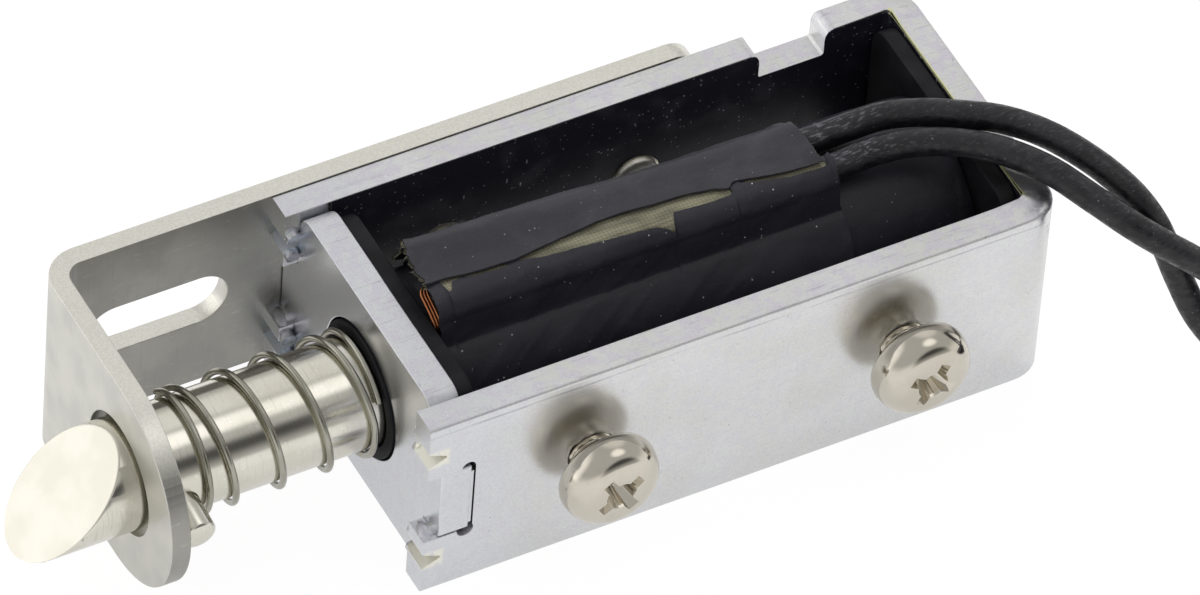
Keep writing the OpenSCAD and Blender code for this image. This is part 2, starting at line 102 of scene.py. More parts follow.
class Val:
    """A socket that takes part in Python expressions."""

    def __init__(self, tree: "NodeTree", socket: bpy.types.NodeSocket) -> None:
        """Wraps an output socket of a tree."""
        self.tree = tree
        self.socket = socket

    def __add__(self, other: "Val | float") -> "Val":
        """Returns the sum."""
        return self.tree.math("ADD", self, other)

    __radd__ = __add__

    def __sub__(self, other: "Val | float") -> "Val":
        """Returns the difference."""
        return self.tree.math("SUBTRACT", self, other)

    def __rsub__(self, other: float) -> "Val":
        """Returns the difference with the sides changed over."""
        return self.tree.math("SUBTRACT", other, self)

    def __mul__(self, other: "Val | float") -> "Val":
        """Returns the product."""
        return self.tree.math("MULTIPLY", self, other)

    __rmul__ = __mul__

    def __truediv__(self, other: "Val | float") -> "Val":
        """Returns the quotient."""
        return self.tree.math("DIVIDE", self, other)

    def size(self) -> "Val":
        """Returns the value without its sign."""
        return self.tree.math("ABSOLUTE", self)

    def least(self, other: "Val | float") -> "Val":
        """Returns the smaller of the two."""
        return self.tree.math("MINIMUM", self, other)

    def most(self, other: "Val | float") -> "Val":
        """Returns the larger of the two."""
        return self.tree.math("MAXIMUM", self, other)

    def above(self, edge: float, width: float) -> "Val":
        """Returns 0 below the edge and 1 above it, with a soft step of the given width."""
        return self.tree.span(self, edge - width / 2, edge + width / 2)

    def below(self, edge: float, width: float) -> "Val":
        """Returns 1 below the edge and 0 above it, with a soft step of the given width."""
        return self.tree.span(self, edge + width / 2, edge - width / 2)


Value = Val | float | int | str | bool | Sequence[float] | bpy.types.ID


class NodeTree:
    """A node tree of any kind that is filled by method calls."""

    def __init__(self, tree: bpy.types.NodeTree) -> None:
        """Takes the shader, world or geometry tree to fill."""
        self.tree = tree

    def node(self, kind: str, settings: dict | None = None, values: dict | None = None) -> bpy.types.Node:
        """Adds one node.

        Args:
            kind: The node's type name.
            settings: Properties that are set first.
            values: Numbers, colours or links by socket name or number.

        Returns:
            The new node.
        """
        made = self.tree.nodes.new(kind)
        for name, value in (settings or {}).items():
            setattr(made, name, value)
        for name, value in (values or {}).items():
            socket = self._input(made, name)
            if isinstance(value, Val):
                self.tree.links.new(value.socket, socket)
            else:
                socket.default_value = value
        return made

    def out(
        self, kind: str, settings: dict | None = None, values: dict | None = None, output: int | str = 0
    ) -> Val:
        """Adds one node and wraps an output.

        Args:
            kind: The node's type name.
            settings: Properties that are set first.
            values: Numbers, colours or links by socket name or number.
            output: The output's name or number.

        Returns:
            The output as a value.
        """
        made = self.node(kind, settings, values)
        if isinstance(output, str):
            return Val(self, next(s for s in made.outputs if s.name == output and s.enabled))
        return Val(self, made.outputs[output])

    def math(self, operation: str, *values: "Val | float") -> Val:
        """Returns the result of a Math node on some values."""
        return self.out("ShaderNodeMath", {"operation": operation}, dict(enumerate(values)))

    def span(self, value: Val, low: float, high: float) -> Val:
        """Returns a value mapped from low and high onto 0 and 1, with smooth ends."""
        return self.out(
            "ShaderNodeMapRange",
            {"interpolation_type": "SMOOTHSTEP"},
            {"Value": value, "From Min": low, "From Max": high},
        )

    def vector(self, operation: str, *values: Value, output: int = 0) -> Val:
        """Returns the vector of a Vector Math node, or its number where the output is 1."""
        return self.out("ShaderNodeVectorMath", {"operation": operation}, dict(enumerate(values)), output)

    @staticmethod
    def _input(made: bpy.types.Node, name: int | str) -> bpy.types.NodeSocket:
        """Finds an input.

        Args:
            made: The node.
            name: The input's number, or its name among those in use.

        Returns:
            The socket.
        """
        if isinstance(name, int):
            return made.inputs[name]
        return next(s for s in made.inputs if s.name == name and s.enabled)


class Surface(NodeTree):
    """One material whose patterns are in the frame's own coordinates."""

    def __init__(self, name: str) -> None:
        """Makes an empty material.

        Args:
            name: The finish's name.
        """
        self.material = bpy.data.materials.new(name)
        self.material.use_nodes = True
        super().__init__(self.material.node_tree)
        self.tree.nodes.clear()
        self.place = self.out("ShaderNodeTexCoord", output="Object")

    def _parts(self, vector: Val) -> tuple[Val, ...]:
        """Returns a vector's three coordinates."""
        split = self.node("ShaderNodeSeparateXYZ", None, {0: vector})
        return tuple(Val(self, part) for part in split.outputs)

    def axes(self) -> tuple[Val, ...]:
        """Returns the place's three coordinates."""
        return self._parts(self.place)

    def facing(self) -> tuple[Val, ...]:
        """Returns the true normal's three coordinates."""
        return self._parts(self.out("ShaderNodeNewGeometry", output="True Normal"))

    def grain(
        self, scale: float, stretch: Triple = (1, 1, 1), detail: float = 2.0, twist: float = 0.0
    ) -> Val:
        """Returns a noise near 0.5, with so many features per millimetre and octaves of detail."""
        values = {"Vector": self.vector("MULTIPLY", self.place, stretch), "Scale": scale / MM}
        return self.out("ShaderNodeTexNoise", None, values | {"Detail": detail, "Distortion": twist})

    def specks(self, scale: float, size: float, share: float, stretch: Triple = (1, 1, 1)) -> Val:
        """Returns scattered specks of dust.

        Args:
            scale: Cells per millimetre.
            size: A speck's radius as a share of its cell.
            share: The share of cells that hold one.
            stretch: Extra scale along each axis.

        Returns:
            1 in a speck and 0 elsewhere.
        """
        spread = self.vector("MULTIPLY", self.place, stretch)
        cells = self.node(
            "ShaderNodeTexVoronoi", None, {"Vector": spread, "Scale": scale / MM, "Randomness": 1.0}
        )
        near = Val(self, cells.outputs["Distance"])
        pick = self.node("ShaderNodeSeparateColor", values={0: Val(self, cells.outputs["Color"])})
        chosen = Val(self, pick.outputs[0]).below(share, 0.02)
        width = Val(self, pick.outputs[1]) * size + size * 0.35
        return (width - near).above(size * 0.12, size * 0.25) * chosen

    def mix(self, share: "Val | float", first: Value, second: Value) -> Val:
        """Returns the first colour with a share of the second in it."""
        return self.out(
            "ShaderNodeMix",
            {"data_type": "RGBA", "clamp_factor": True},
            {"Factor": share, "A": self._colour(first), "B": self._colour(second)},
            output="Result",
        )

    def tint(self, colour: Value, amount: "Val | float") -> Val:
        """Returns a colour scaled by an amount."""
        given = colour if isinstance(colour, Val) else tuple(colour)
        return self.out("ShaderNodeVectorMath", {"operation": "SCALE"}, {0: given, "Scale": amount})

    def bump(self, height: Val, depth: float, strength: float = 1.0) -> Val:
        """Returns the normal of a height from 0 to 1, where 1 stands for the depth in millimetres."""
        return self.out(
            "ShaderNodeBump", None, {"Height": height, "Distance": depth * MM, "Strength": strength}
        )

    def dress(self, fixed: dict | None = None, **varying: Value) -> Material:
        """Ends the tree in one shader.

        Args:
            fixed: Values that are the same all over, by socket name.
            **varying: colour, roughness, metallic and normal.

        Returns:
            The material.
        """
        names = {"colour": "Base Color", "roughness": "Roughness", "metallic": "Metallic", "normal": "Normal"}
        values = dict(fixed or {})
        for name, value in varying.items():
            values[names[name]] = self._colour(value) if name == "colour" else value
        shader = self.out("ShaderNodeBsdfPrincipled", None, values)
        self.node("ShaderNodeOutputMaterial", None, {"Surface": shader})
        return self.material

    @staticmethod
    def _colour(value: Value) -> Value:
        """Gives a written colour its fourth number."""
        return (*value, 1.0) if isinstance(value, tuple) and len(value) == 3 else value


class Rule(NodeTree):
    """A Geometry Nodes tree with named inputs, whose result becomes a plain mesh."""

    SOCKETS = {float: "NodeSocketFloat", int: "NodeSocketInt"}

    def __init__(self, name: str, sizes: dict[str, float | int]) -> None:
        """Makes a tree with one input for each size.

        Args:
            name: The tree's name.
            sizes: The inputs and their values.
        """
        super().__init__(bpy.data.node_groups.new(name, "GeometryNodeTree"))
        face = self.tree.interface
        face.new_socket("Geometry", in_out="OUTPUT", socket_type="NodeSocketGeometry")
        self.sizes = dict(sizes)
        kinds = {
            size: self.SOCKETS[type(value)] for size, value in sizes.items()
        } | {"Material": "NodeSocketMaterial"}
        self.keys: dict[str, str] = {}
        for size, kind in kinds.items():
            self.keys[size] = face.new_socket(size, in_out="INPUT", socket_type=kind).identifier
        self.given = self.node("NodeGroupInput")

    def size_of(self, name: str) -> Val:
        """Returns one of the tree's inputs."""
        return Val(self, self.given.outputs[name])

    def join(self, x: "Val | float", y: "Val | float", z: "Val | float") -> Val:
        """Returns the vector of three numbers."""
        return self.out("ShaderNodeCombineXYZ", None, {0: x, 1: y, 2: z})

    def bake(self, name: str, shape: Val, material: Material) -> Piece:
        """Ends the tree, runs it and keeps the result as a plain mesh.

        Args:
            name: The new object's name.
            shape: The geometry to keep.
            material: What it is dressed in.

        Returns:
            The object, with no modifier.
        """
        whole = self.out("GeometryNodeRealizeInstances", None, {0: shape})
        dressed = self.out(
            "GeometryNodeSetMaterial", None, {"Geometry": whole, "Material": self.size_of("Material")}
        )
        self.node("NodeGroupOutput", None, {0: dressed})
        host = bpy.data.objects.new(name, bpy.data.meshes.new(name + "_seed"))
        bpy.context.scene.collection.objects.link(host)
        modifier = host.modifiers.new("rule", "NODES")
        modifier.node_group = self.tree
        for size, value in self.sizes.items():
            modifier[self.keys[size]] = value
        modifier[self.keys["Material"]] = material
        settle(host)
        return host


# ---- mesh helpers ----


def settle(piece: Piece) -> Piece:
    """Turns a piece with modifiers into a plain mesh.

    Args:
        piece: The object.

    Returns:
        The same object.
    """
    graph = bpy.context.evaluated_depsgraph_get()
    mesh = bpy.data.meshes.new_from_object(
        piece.evaluated_get(graph), preserve_all_data_layers=True, depsgraph=graph
    )
    piece.modifiers.clear()
    piece.data = mesh
    mesh.name = piece.name
    return piece


def shown(name: str, mesh: bpy.types.Mesh, material: Material | None) -> Piece:
    """Puts a mesh into the scene.

    Args:
        name: The object's name.
        mesh: The mesh, with its place in it.
        material: Its first material.

    Returns:
        The object, at the origin.
    """
    made = bpy.data.objects.new(name, mesh)
    bpy.context.scene.collection.objects.link(made)
    if material is not None:
        mesh.materials.append(material)
    return made


def piece_of(name: str, points: Sequence, faces: Sequence, material: Material | None = None) -> Piece:
    """Makes an object at the origin.

    Args:
        name: Its name.
        points: Vertices in metres.
        faces: Vertex numbers of each face.
        material: Its first material.

    Returns:
        The linked object.
    """
    mesh = bpy.data.meshes.new(name)
    mesh.from_pydata([tuple(p) for p in points], [], [tuple(f) for f in faces])
    mesh.update()
    return shown(name, mesh, material)


def piece_from(name: str, shape: bmesh.types.BMesh, material: Material | None = None) -> Piece:
    """Makes an object from a bmesh, which is freed.

    Args:
        name: Its name.
        shape: The bmesh.
        material: Its first material.

    Returns:
        The linked object.
    """
    mesh = bpy.data.meshes.new(name)
    shape.to_mesh(mesh)
    shape.free()
    return shown(name, mesh, material)


def outward(piece: Piece) -> Piece:
    """Points every face of a closed piece outwards.

    Args:
        piece: The object.

    Returns:
        The same object.
    """
    shape = bmesh.new()
    shape.from_mesh(piece.data)
    bmesh.ops.remove_doubles(shape, verts=shape.verts, dist=SAME_PLACE)
    bmesh.ops.recalc_face_normals(shape, faces=shape.faces)
    shape.to_mesh(piece.data)
    shape.free()
    return piece


def soften(piece: Piece, angle: float = 35.0) -> Piece:
    """Shades a piece smooth, apart from its sharp edges.

    Args:
        piece: The object.
        angle: Edges over this many degrees stay sharp.

    Returns:
        The same object.
    """
    piece.data.shade_smooth()
    piece.data.set_sharp_from_angle(angle=math.radians(angle))
    return piece


def even_out(piece: Piece) -> Piece:
    """Weights the normals by face area, so that flat faces stay flat beside small rounds.

    Args:
        piece: The object, with no modifier.

    Returns:
        The same object.
    """
    modifier = piece.modifiers.new("weights", "WEIGHTED_NORMAL")
    modifier.keep_sharp = True
    modifier.weight = 80
    return settle(piece)


def round_edges(piece: Piece, width: float, angle: float) -> Piece:
    """Rounds a piece's sharp edges.

    Args:
        piece: The object.
        width: Width of the rounds in millimetres.
        angle: Edges over this many degrees are rounded.

    Returns:
        The same object.
    """
    modifier = piece.modifiers.new("edges", "BEVEL")
    modifier.width = width * MM
    modifier.segments = 2
    modifier.limit_method = "ANGLE"
    modifier.angle_limit = math.radians(angle)
    return settle(piece)


def mount(piece: Piece, slot: str, *nodes: str, body: str = FIXED) -> None:
    """Puts a piece on its body.

    Args:
        piece: The piece.
        slot: The record's material slot; not used.
        *nodes: The nodes that it stands for.
        body: The body that it moves with.
    """
    if nodes:
        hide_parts(*nodes)
    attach(piece, body)


def copy_of(
    node: str, name: str, material: Material, slot: str, edge: float, angle: float = 32.0
) -> Piece:
    """Makes a merged copy of a node's mesh with rounded edges, which stands for the node.

    Args:
        node: The node.
        name: The new piece's name.
        material: Its material.
        slot: The record's material slot.
        edge: Width of the rounded edges in millimetres.
        angle: Edges over this many degrees are rounded.

    Returns:
        The new piece.
    """
    shape = bmesh.new()
    shape.from_mesh(frame["nodes"][node].data)
    bmesh.ops.remove_doubles(shape, verts=shape.verts, dist=2e-6)
    bmesh.ops.dissolve_limit(shape, angle_limit=math.radians(1.0), verts=shape.verts, edges=shape.edges)
    made = piece_from(name, shape, material)
    even_out(soften(round_edges(made, edge, angle), 40))
    mount(made, slot, node)
    return made


def cut(piece: Piece, cutter: Piece) -> Piece:
    """Cuts one piece with another, which is then removed.

    Args:
        piece: The piece to cut.
        cutter: The closed cutter.

    Returns:
        The cut piece.
    """
    modifier = piece.modifiers.new("cut", "BOOLEAN")
    modifier.operation = "DIFFERENCE"
    modifier.solver = "EXACT"
    modifier.object = cutter
    settle(piece)
    bpy.data.objects.remove(cutter)
    return piece


def joined(name: str, parts: Sequence[Piece]) -> Piece:
    """Joins several pieces' meshes into one object.

    Args:
        name: The new object's name.
        parts: The pieces, which are removed.

    Returns:
        The new object.
    """
    shape = bmesh.new()
    materials: list[Material] = []
    for part in parts:
        start = len(shape.faces)
        shape.from_mesh(part.data)
        shape.faces.ensure_lookup_table()
        shift = []
        for material in part.data.materials:
            if material not in materials:
                materials.append(material)
            shift.append(materials.index(material))
        for face in shape.faces[start:]:
            face.material_index = shift[face.material_index] if shift else 0
    made = piece_from(name, shape)
    for material in materials:
        made.data.materials.append(material)
    for part in parts:
        bpy.data.objects.remove(part)
    return made


def smooth_path(points: Sequence[Triple], step: float, parts: int = 16) -> list[Vector]:
    """Runs an even curve through points.

    Args:
        points: The points in metres.
        step: Distance between the curve's points.
        parts: Steps between two points from which the length is measured.

    Returns:
        The curve's points.
    """
    given = [Vector(p) for p in points]
    ends = [2 * given[0] - given[1], *given, 2 * given[-1] - given[-2]]
    fine: list[Vector] = []
    for before, start, end, after in zip(ends, ends[1:], ends[2:], ends[3:]):
        for k in range(parts):
            t = k / parts
            fine.append(
                0.5
                * (
                    2 * start
                    + (end - before) * t
                    + (2 * before - 5 * start + 4 * end - after) * t * t
                    + (3 * start - before - 3 * end + after) * t**3
                )
            )
    fine.append(given[-1])
    lengths = np.concatenate([[0.0], np.cumsum([(b - a).length for a, b in zip(fine, fine[1:])])])
    count = max(2, round(lengths[-1] / step))
    table = np.array([tuple(p) for p in fine])
    wanted = np.linspace(0, lengths[-1], count + 1)
    return [Vector([np.interp(w, lengths, table[:, k]) for k in range(3)]) for w in wanted]


def frames_along(path: Sequence[Vector]) -> list[tuple[Vector, Vector, Vector]]:
    """Returns the direction and two side vectors at each point, with no twist.

    Args:
        path: The points.

    Returns:
        One triple of unit vectors for each point.
    """
    ways = [(path[min(i + 1, len(path) - 1)] - path[max(i - 1, 0)]).normalized() for i in range(len(path))]
    side = ways[0].cross(Vector((0, 0, 1)))
    side = (side if side.length > 0.1 else ways[0].cross(Vector((0, 1, 0)))).normalized()
    found = []
    for way in ways:
        side = (side - way * side.dot(way)).normalized()
        found.append((way, side, way.cross(side)))
    return found


def skin(rows: int, count: int) -> Faces:
    """Joins rings of points into a closed skin.

    Args:
        rows: Number of rings.
        count: Points of each ring.

    Returns:
        The faces, with one over each end.
    """
    faces: Faces = [
        (i * count + k, i * count + (k + 1) % count, (i + 1) * count + (k + 1) % count, (i + 1) * count + k)
        for i in range(rows - 1)
        for k in range(count)
    ]
    return [*faces, tuple(range(count))[::-1], tuple(range((rows - 1) * count, rows * count))]


def tube(path: Sequence[Vector], radius: float | Wave, sides: int) -> tuple[list[Vector], Faces]:
    """Sweeps a circle along a path, with closed ends.

    Args:
        path: The centre line.
        radius: The radius, or a function of the share along and the angle.
        sides: Points of each ring.

    Returns:
        Vertices and faces.
    """
    points: list[Vector] = []
    last = len(path) - 1
    for i, (centre, (_, u, v)) in enumerate(zip(path, frames_along(path))):
        for k in range(sides):
            angle = math.tau * k / sides
            r = radius(i / last, angle) if callable(radius) else radius
            points.append(centre + r * (math.cos(angle) * u + math.sin(angle) * v))
    return points, skin(last + 1, sides)


def lathe(
    profile: Sequence[Pair],
    segments: int,
    place: Place,
    wave: Wave | None = None,
    ends: tuple[bool, bool] = (True, True),
) -> tuple[list[Triple], Faces]:
    """Turns a profile about an axis.

    Args:
        profile: Pairs of distance along the axis and radius, in millimetres.
        segments: Steps round the axis.
        place: Gives the place of (along, across, up) in metres.
        wave: Adds to the radius at (along, angle), in millimetres.
        ends: Whether the first and the last ring are closed with a face.

    Returns:
        Vertices and faces.
    """
    points: list[Triple] = []
    for along, radius in profile:
        for k in range(segments):
            angle = math.tau * k / segments
            r = radius + (wave(along, angle) if wave else 0.0)
            points.append(place(along * MM, r * math.cos(angle) * MM, r * math.sin(angle) * MM))
    rows = len(profile)
    faces = [
        (
            i * segments + k, (i + 1) * segments + k, (i + 1) * segments + (k + 1) % segments,
            i * segments + (k + 1) % segments
        )
        for i in range(rows - 1)
        for k in range(segments)
    ]
    caps = [tuple(range(segments)), tuple(range((rows - 1) * segments, rows * segments))[::-1]]
    return points, [*faces, *(cap for cap, wanted in zip(caps, ends) if wanted)]


def along_x(along: float, across: float, up: float) -> Triple:
    """Places a lathe's point on the bolt's axis."""
    return (along, across, up)


def block(low: Triple, high: Triple) -> Piece:
    """Makes a box that only serves as a cutter.

    Args:
        low: Lowest corner in millimetres.
        high: Highest corner in millimetres.

    Returns:
        The object.
    """
    corners = [
        (x * MM, y * MM, z * MM)
        for x in (low[0], high[0])
        for y in (low[1], high[1])
        for z in (low[2], high[2])
    ]
    faces = [(0, 1, 3, 2), (4, 6, 7, 5), (0, 4, 5, 1), (2, 3, 7, 6), (0, 2, 6, 4), (1, 5, 7, 3)]
    return outward(piece_of("cutter", corners, faces))


def prism(outline: Sequence[Pair], low: float, high: float, place: Place) -> Piece:
    """Returns a prism, whose outline and span along its own axis are in millimetres."""
    corners = [[c * MM for c in place(a, b, level)] for level in (low, high) for a, b in outline]
    return outward(piece_of("cutter", corners, skin(2, len(outline))))


def ruffle(x: float, y: float, z: float, scale: float, seed: float = 0.0) -> float:
    """Returns a smooth noise from about -1 to 1, with so many features per millimetre."""
    return noise.noise(Vector((x * scale + seed, y * scale + 2.3 * seed, z * scale - 1.7 * seed)))


def ring_of(radius: float, count: int) -> list[Pair]:
    """Returns the corners of a regular polygon."""
    return [
        (radius * math.cos(math.tau * k / count), radius * math.sin(math.tau * k / count))
        for k in range(count)
    ]


# ---- finishes ----


class Lay(Enum):
    """The way in which a metal's fine marks run."""

    EVEN = (1.0, 1.0, 1.0)
    ALONG_X = (0.25, 2.0, 2.0)
    ROUND_X = (4.0, 0.25, 0.25)
    UPRIGHT = (2.5, 2.5, 0.14)


@dataclass(frozen=True)
class Metal:
    """A bare or plated metal with fine marks.

    Attributes:
        second: The colour of its cloudy patches.
        scratch: How strongly the scratches show, from 0 to 1.
        depth: Depth of the fine bumps in millimetres.
        sparkle: How strongly bright nicks show.
        inside: Share of its brightness on faces that look towards -Y, a painted shade; these faces also carry
            chalky dust and scuffs.
    """

    name: str
    colour: Colour
    second: Colour
    rough: float
    lay: Lay = Lay.EVEN
    scratch: float = 0.3
    depth: float = 0.004
    sparkle: float = 0.0
    inside: float = 1.0

    def build(self) -> Material:
        """Builds the finish.

        Returns:
            The material.
        """
        made = Surface(self.name)
        clouds = made.grain(0.35, detail=5)
        across, sideways, _ = made.facing()
        lines = made.grain(3.0, self.lay.value, detail=3)
        fine = made.grain(14.0, self.lay.value, detail=1)
        even = across.size().below(0.5, 0.3) if self.lay is Lay.ROUND_X else 1.0
        marks = made.span(lines, 0.56, 0.74) * self.scratch * even
        base = made.mix(made.span(clouds, 0.35, 0.65), self.colour, self.second)
        base = made.mix(marks, base, made.tint(base, 0.45))
        bright = (
            made.specks(4.2, 0.15, 0.3, (0.7, 1, 1))
            + made.span(made.grain(5.0, (0.5, 1, 1), detail=4), 0.6, 0.72) * 0.6
        )
        base = made.mix(bright * self.sparkle * even, base, (0.95, 0.93, 0.86))
        if self.inside < 1:
            scuffs = made.span(made.grain(1.9, (0.5, 1, 1.7), detail=5), 0.6, 0.72) * 0.16
            chalk = made.specks(1.6, 0.1, 0.2) + scuffs
            # Painted shade: faces towards -Y are darkened to the inside share, with real chalky dust and
            # scuffs mixed over them.
            painted_light = made.mix(chalk, made.tint(base, self.inside), (0.8, 0.79, 0.72))
            base = made.mix(sideways.below(-0.7, 0.3), base, painted_light)
            # Painted highlight: faces that look neither along X nor along Y, the cut edges and slot walls,
            # are made lighter and cream.
            cut_face_highlight = (across.size() - 0.8).below(0, 0.2) * (sideways.size() - 0.8).below(0, 0.2)
            base = made.mix(
                cut_face_highlight, base, made.mix(made.span(lines, 0.4, 0.6), (0.83, 0.82, 0.75), (0.76, 0.75, 0.69))
            )
        rough = clouds * 0.12 + (self.rough - 0.06) + marks * 0.2
        height = lines * 0.6 + fine * 0.4
        normal = made.bump(height, self.depth, 0.6)
        return made.dress({"Metallic": 1.0}, colour=base, roughness=rough, normal=normal)


@dataclass(frozen=True)
class YokeZinc:
    """Bluish white zinc on the yoke, whose inner walls are coloured a glossy near-black with dust specks.

    Attributes:
        wall_in: Distance from the axis to the inner walls in millimetres.
        rear_in: Where the rear wall's inner face is.
        front: Where the near-black inner colour starts.
        black: True where the inner walls are coloured near-black.
    """

    name: str
    wall_in: float
    rear_in: float
    front: float
    black: bool = True
    outer: float = 9.4
    top: float = 6.5
    outer_dark_line_z: float = 5.88
    stake_z: float = 4.05
    crumple_at: Pair = (37.4, -8.9)

    def build(self) -> Material:
        """Builds the finish.

        Returns:
            The material.
        """
        made = Surface(self.name)
        x, y, z = made.axes()
        _, _, up = made.facing()
        clouds = made.grain(0.22, detail=4)
        grit = made.grain(6.0, detail=3)
        spots = made.grain(1.6, (1, 1, 1), detail=3)
        lines = made.grain(2.2, (0.12, 1, 2.2), detail=3)
        topline = made.grain(2.6, (0.16, 3.0, 1), detail=2)
        cool = made.mix(made.span(clouds, 0.35, 0.66), (0.78, 0.785, 0.79), (0.745, 0.75, 0.73))
        blue = made.mix(x.below(4.5 * MM, 7 * MM) * 0.5, cool, (0.72, 0.74, 0.80))
        lavender = made.mix(
            made.span(spots, 0.42, 0.62) * (up.above(0.75, 0.3) * 0.4 + 0.25), blue, (0.72, 0.69, 0.79)
        )
        low = made.mix(z.below(-4.6 * MM, 3.4 * MM) * 0.25, lavender, (0.66, 0.67, 0.70))
        scratches = (
            made.span(lines, 0.62, 0.74) * 0.1 + made.span(topline, 0.6, 0.72) * up.above(0.7, 0.3) * 0.25
        )
        pits = made.specks(1.3, 0.09, 0.22)
        frost = made.grain(9.0, detail=2)
        nicks = made.specks(2.4, 0.12, 0.25) * (up.above(0.6, 0.3) * 0.8 + 0.12)
        base = made.mix(scratches + pits * 0.35, low, (0.22, 0.22, 0.25))
        # A thin, broken dark line along the outer walls, 0.62 mm below the top.
        outer_dark_line = (
            (z - self.outer_dark_line_z * MM).size().below(0.07 * MM, 0.06 * MM)
            * y.size().above(self.outer * MM, 0.04 * MM)
        )
        base = made.mix(outer_dark_line * made.span(lines, 0.35, 0.6) * 0.5, base, (0.3, 0.3, 0.36))
        base = made.mix(made.span(grit, 0.48, 0.68) * 0.22, base, made.tint(base, 0.7))
        base = made.mix(made.span(frost, 0.5, 0.72) * 0.24, base, (0.94, 0.94, 0.95))
        base = made.mix(nicks * 0.7, base, (1.0, 1.0, 1.0))
        bend = up.above(0.1, 0.1) * up.below(0.93, 0.08)
        rough = clouds * 0.1 + 0.17 + spots * 0.06 + up.above(0.5, 0.6) * 0.16 + bend * 0.12
        height = clouds * 0.4 + spots * 0.25 + lines * 0.15 + frost * 0.2
        normal = made.bump(height, 0.02, 0.4)
        near = (
            (z.size() - self.stake_z * MM).size().below(0.62 * MM, 0.3 * MM) * x.below(0.35 * MM, 0.3 * MM)
            * y.size().above(7.6 * MM, 0.2 * MM)
        )
        chips = near * made.span(spots, 0.33, 0.42)
        base = made.mix(chips * 0.85, base, made.mix(y.above(0, MM), (0.93, 0.91, 0.8), (0.8, 0.86, 0.94)))
        # Painted shade: dark patches in the creases of the crumpled rear -Y top corner.
        along, across = (x - self.crumple_at[0] * MM).size(), (y - self.crumple_at[1] * MM).size()
        crumple_shade = (along + across + (z - self.top * MM).size() * 0.7).below(1.4 * MM, 1.3 * MM)
        base = made.mix(crumple_shade * made.span(spots, 0.4, 0.56) * 0.75, base, (0.2, 0.21, 0.25))
        if not self.black:
            return made.dress({"Metallic": 1.0}, colour=base, roughness=rough, normal=normal)
        # The inner walls are coloured a glossy, non-metallic near-black, with lighter haze and dust specks.
        inside = (
            y.size().below((self.wall_in + 0.03) * MM, 0.02 * MM)
            * x.below((self.rear_in + 0.03) * MM, 0.02 * MM)
            * x.above(self.front * MM, 0.05 * MM)
            * z.below((self.top - 0.08) * MM, 0.02 * MM)
        )
        dust = (
            made.specks(2.2, 0.16, 0.4) + made.specks(4.5, 0.22, 0.4)
            + made.specks(1.1, 0.08, 0.5, (1, 1, 0.3))
        )
        haze = made.span(made.grain(0.5, detail=4), 0.5, 0.75)
        dark_inside = made.mix(haze * 0.5, (0.018, 0.018, 0.030), (0.050, 0.050, 0.068))
        dark_inside = made.mix(dust * (haze * 0.6 + 0.4), dark_inside, (0.72, 0.73, 0.72))
        base = made.mix(inside, base, dark_inside)
        rough = rough * (1 - inside) + inside * (0.3 + haze * 0.2)
        # Painted reflection: a yellow line along the rear wall's inner top edge.
        edge = (
            (x - self.rear_in * MM).size().below(0.1 * MM, 0.04 * MM)
            * y.size().below(self.wall_in * MM, 0.05 * MM)
        )
        edge = edge * z.above((self.top - 0.16) * MM, 0.05 * MM)
        base = made.mix(edge * 0.8, base, (0.80, 0.80, 0.42))
        return made.dress(
            {"Specular IOR Level": 0.28}, colour=base, roughness=rough, metallic=1 - inside, normal=normal
        )


@dataclass(frozen=True)
class Tape:
    """Black or charcoal insulating tape with dust, faint creases and lighter worn places."""

    name: str
    colour: Colour
    light: Colour
    rough: float
    dust: float = 1.0

    def build(self) -> Material:
        """Builds the finish.

        Returns:
            The material.
        """
        made = Surface(self.name)
        haze = made.grain(0.45, (0.6, 1, 1), detail=5, twist=0.6)
        weave = made.grain(7.0, (1, 1, 1), detail=2)
        creases = made.grain(1.1, (0.7, 1.6, 0.5), detail=3, twist=0.8)
        base = made.mix(made.span(haze, 0.42, 0.72) * 0.8, self.colour, self.light)
        base = made.mix(made.span(weave, 0.5, 0.7) * 0.25, base, made.tint(base, 1.8))
        dust = made.specks(1.7, 0.08, 0.2) + made.specks(3.0, 0.12, 0.2)
        base = made.mix(dust * self.dust, base, (0.42, 0.42, 0.41))
        rough = haze * 0.25 + (self.rough - 0.12)
        normal = made.bump(creases * 0.7 + weave * 0.3, 0.05, 0.5)
        return made.dress({"Specular IOR Level": 0.3}, colour=base, roughness=rough, normal=normal)


@dataclass(frozen=True)
class Cloth:
    """Olive beige woven glass cloth, with so many threads per millimetre."""

    name: str
    threads: float = 4.5

    def build(self) -> Material:
        """Builds the finish.

        Returns:
            The material.
        """
        made = Surface(self.name)
        x, y, _ = made.axes()
        warp = made.math("SINE", x * (math.tau * self.threads / MM)) * 0.5 + 0.5
        weft = made.math("SINE", y * (math.tau * self.threads / MM)) * 0.5 + 0.5
        over = made.math("SINE", (x + y) * (math.pi * self.threads / MM)) * 0.5 + 0.5
        height = warp * over + weft * (1 - over)
        patch = made.grain(0.8, (0.5, 1.4, 1), detail=4)
        base = made.mix(made.span(patch, 0.38, 0.64), (0.22, 0.21, 0.15), (0.37, 0.35, 0.25))
        base = made.mix(height * 0.5, made.tint(base, 0.55), base)
        return made.dress(
            {"Specular IOR Level": 0.25}, colour=base, roughness=0.85 - patch * 0.15,
            normal=made.bump(height, 0.05, 0.7)
        )


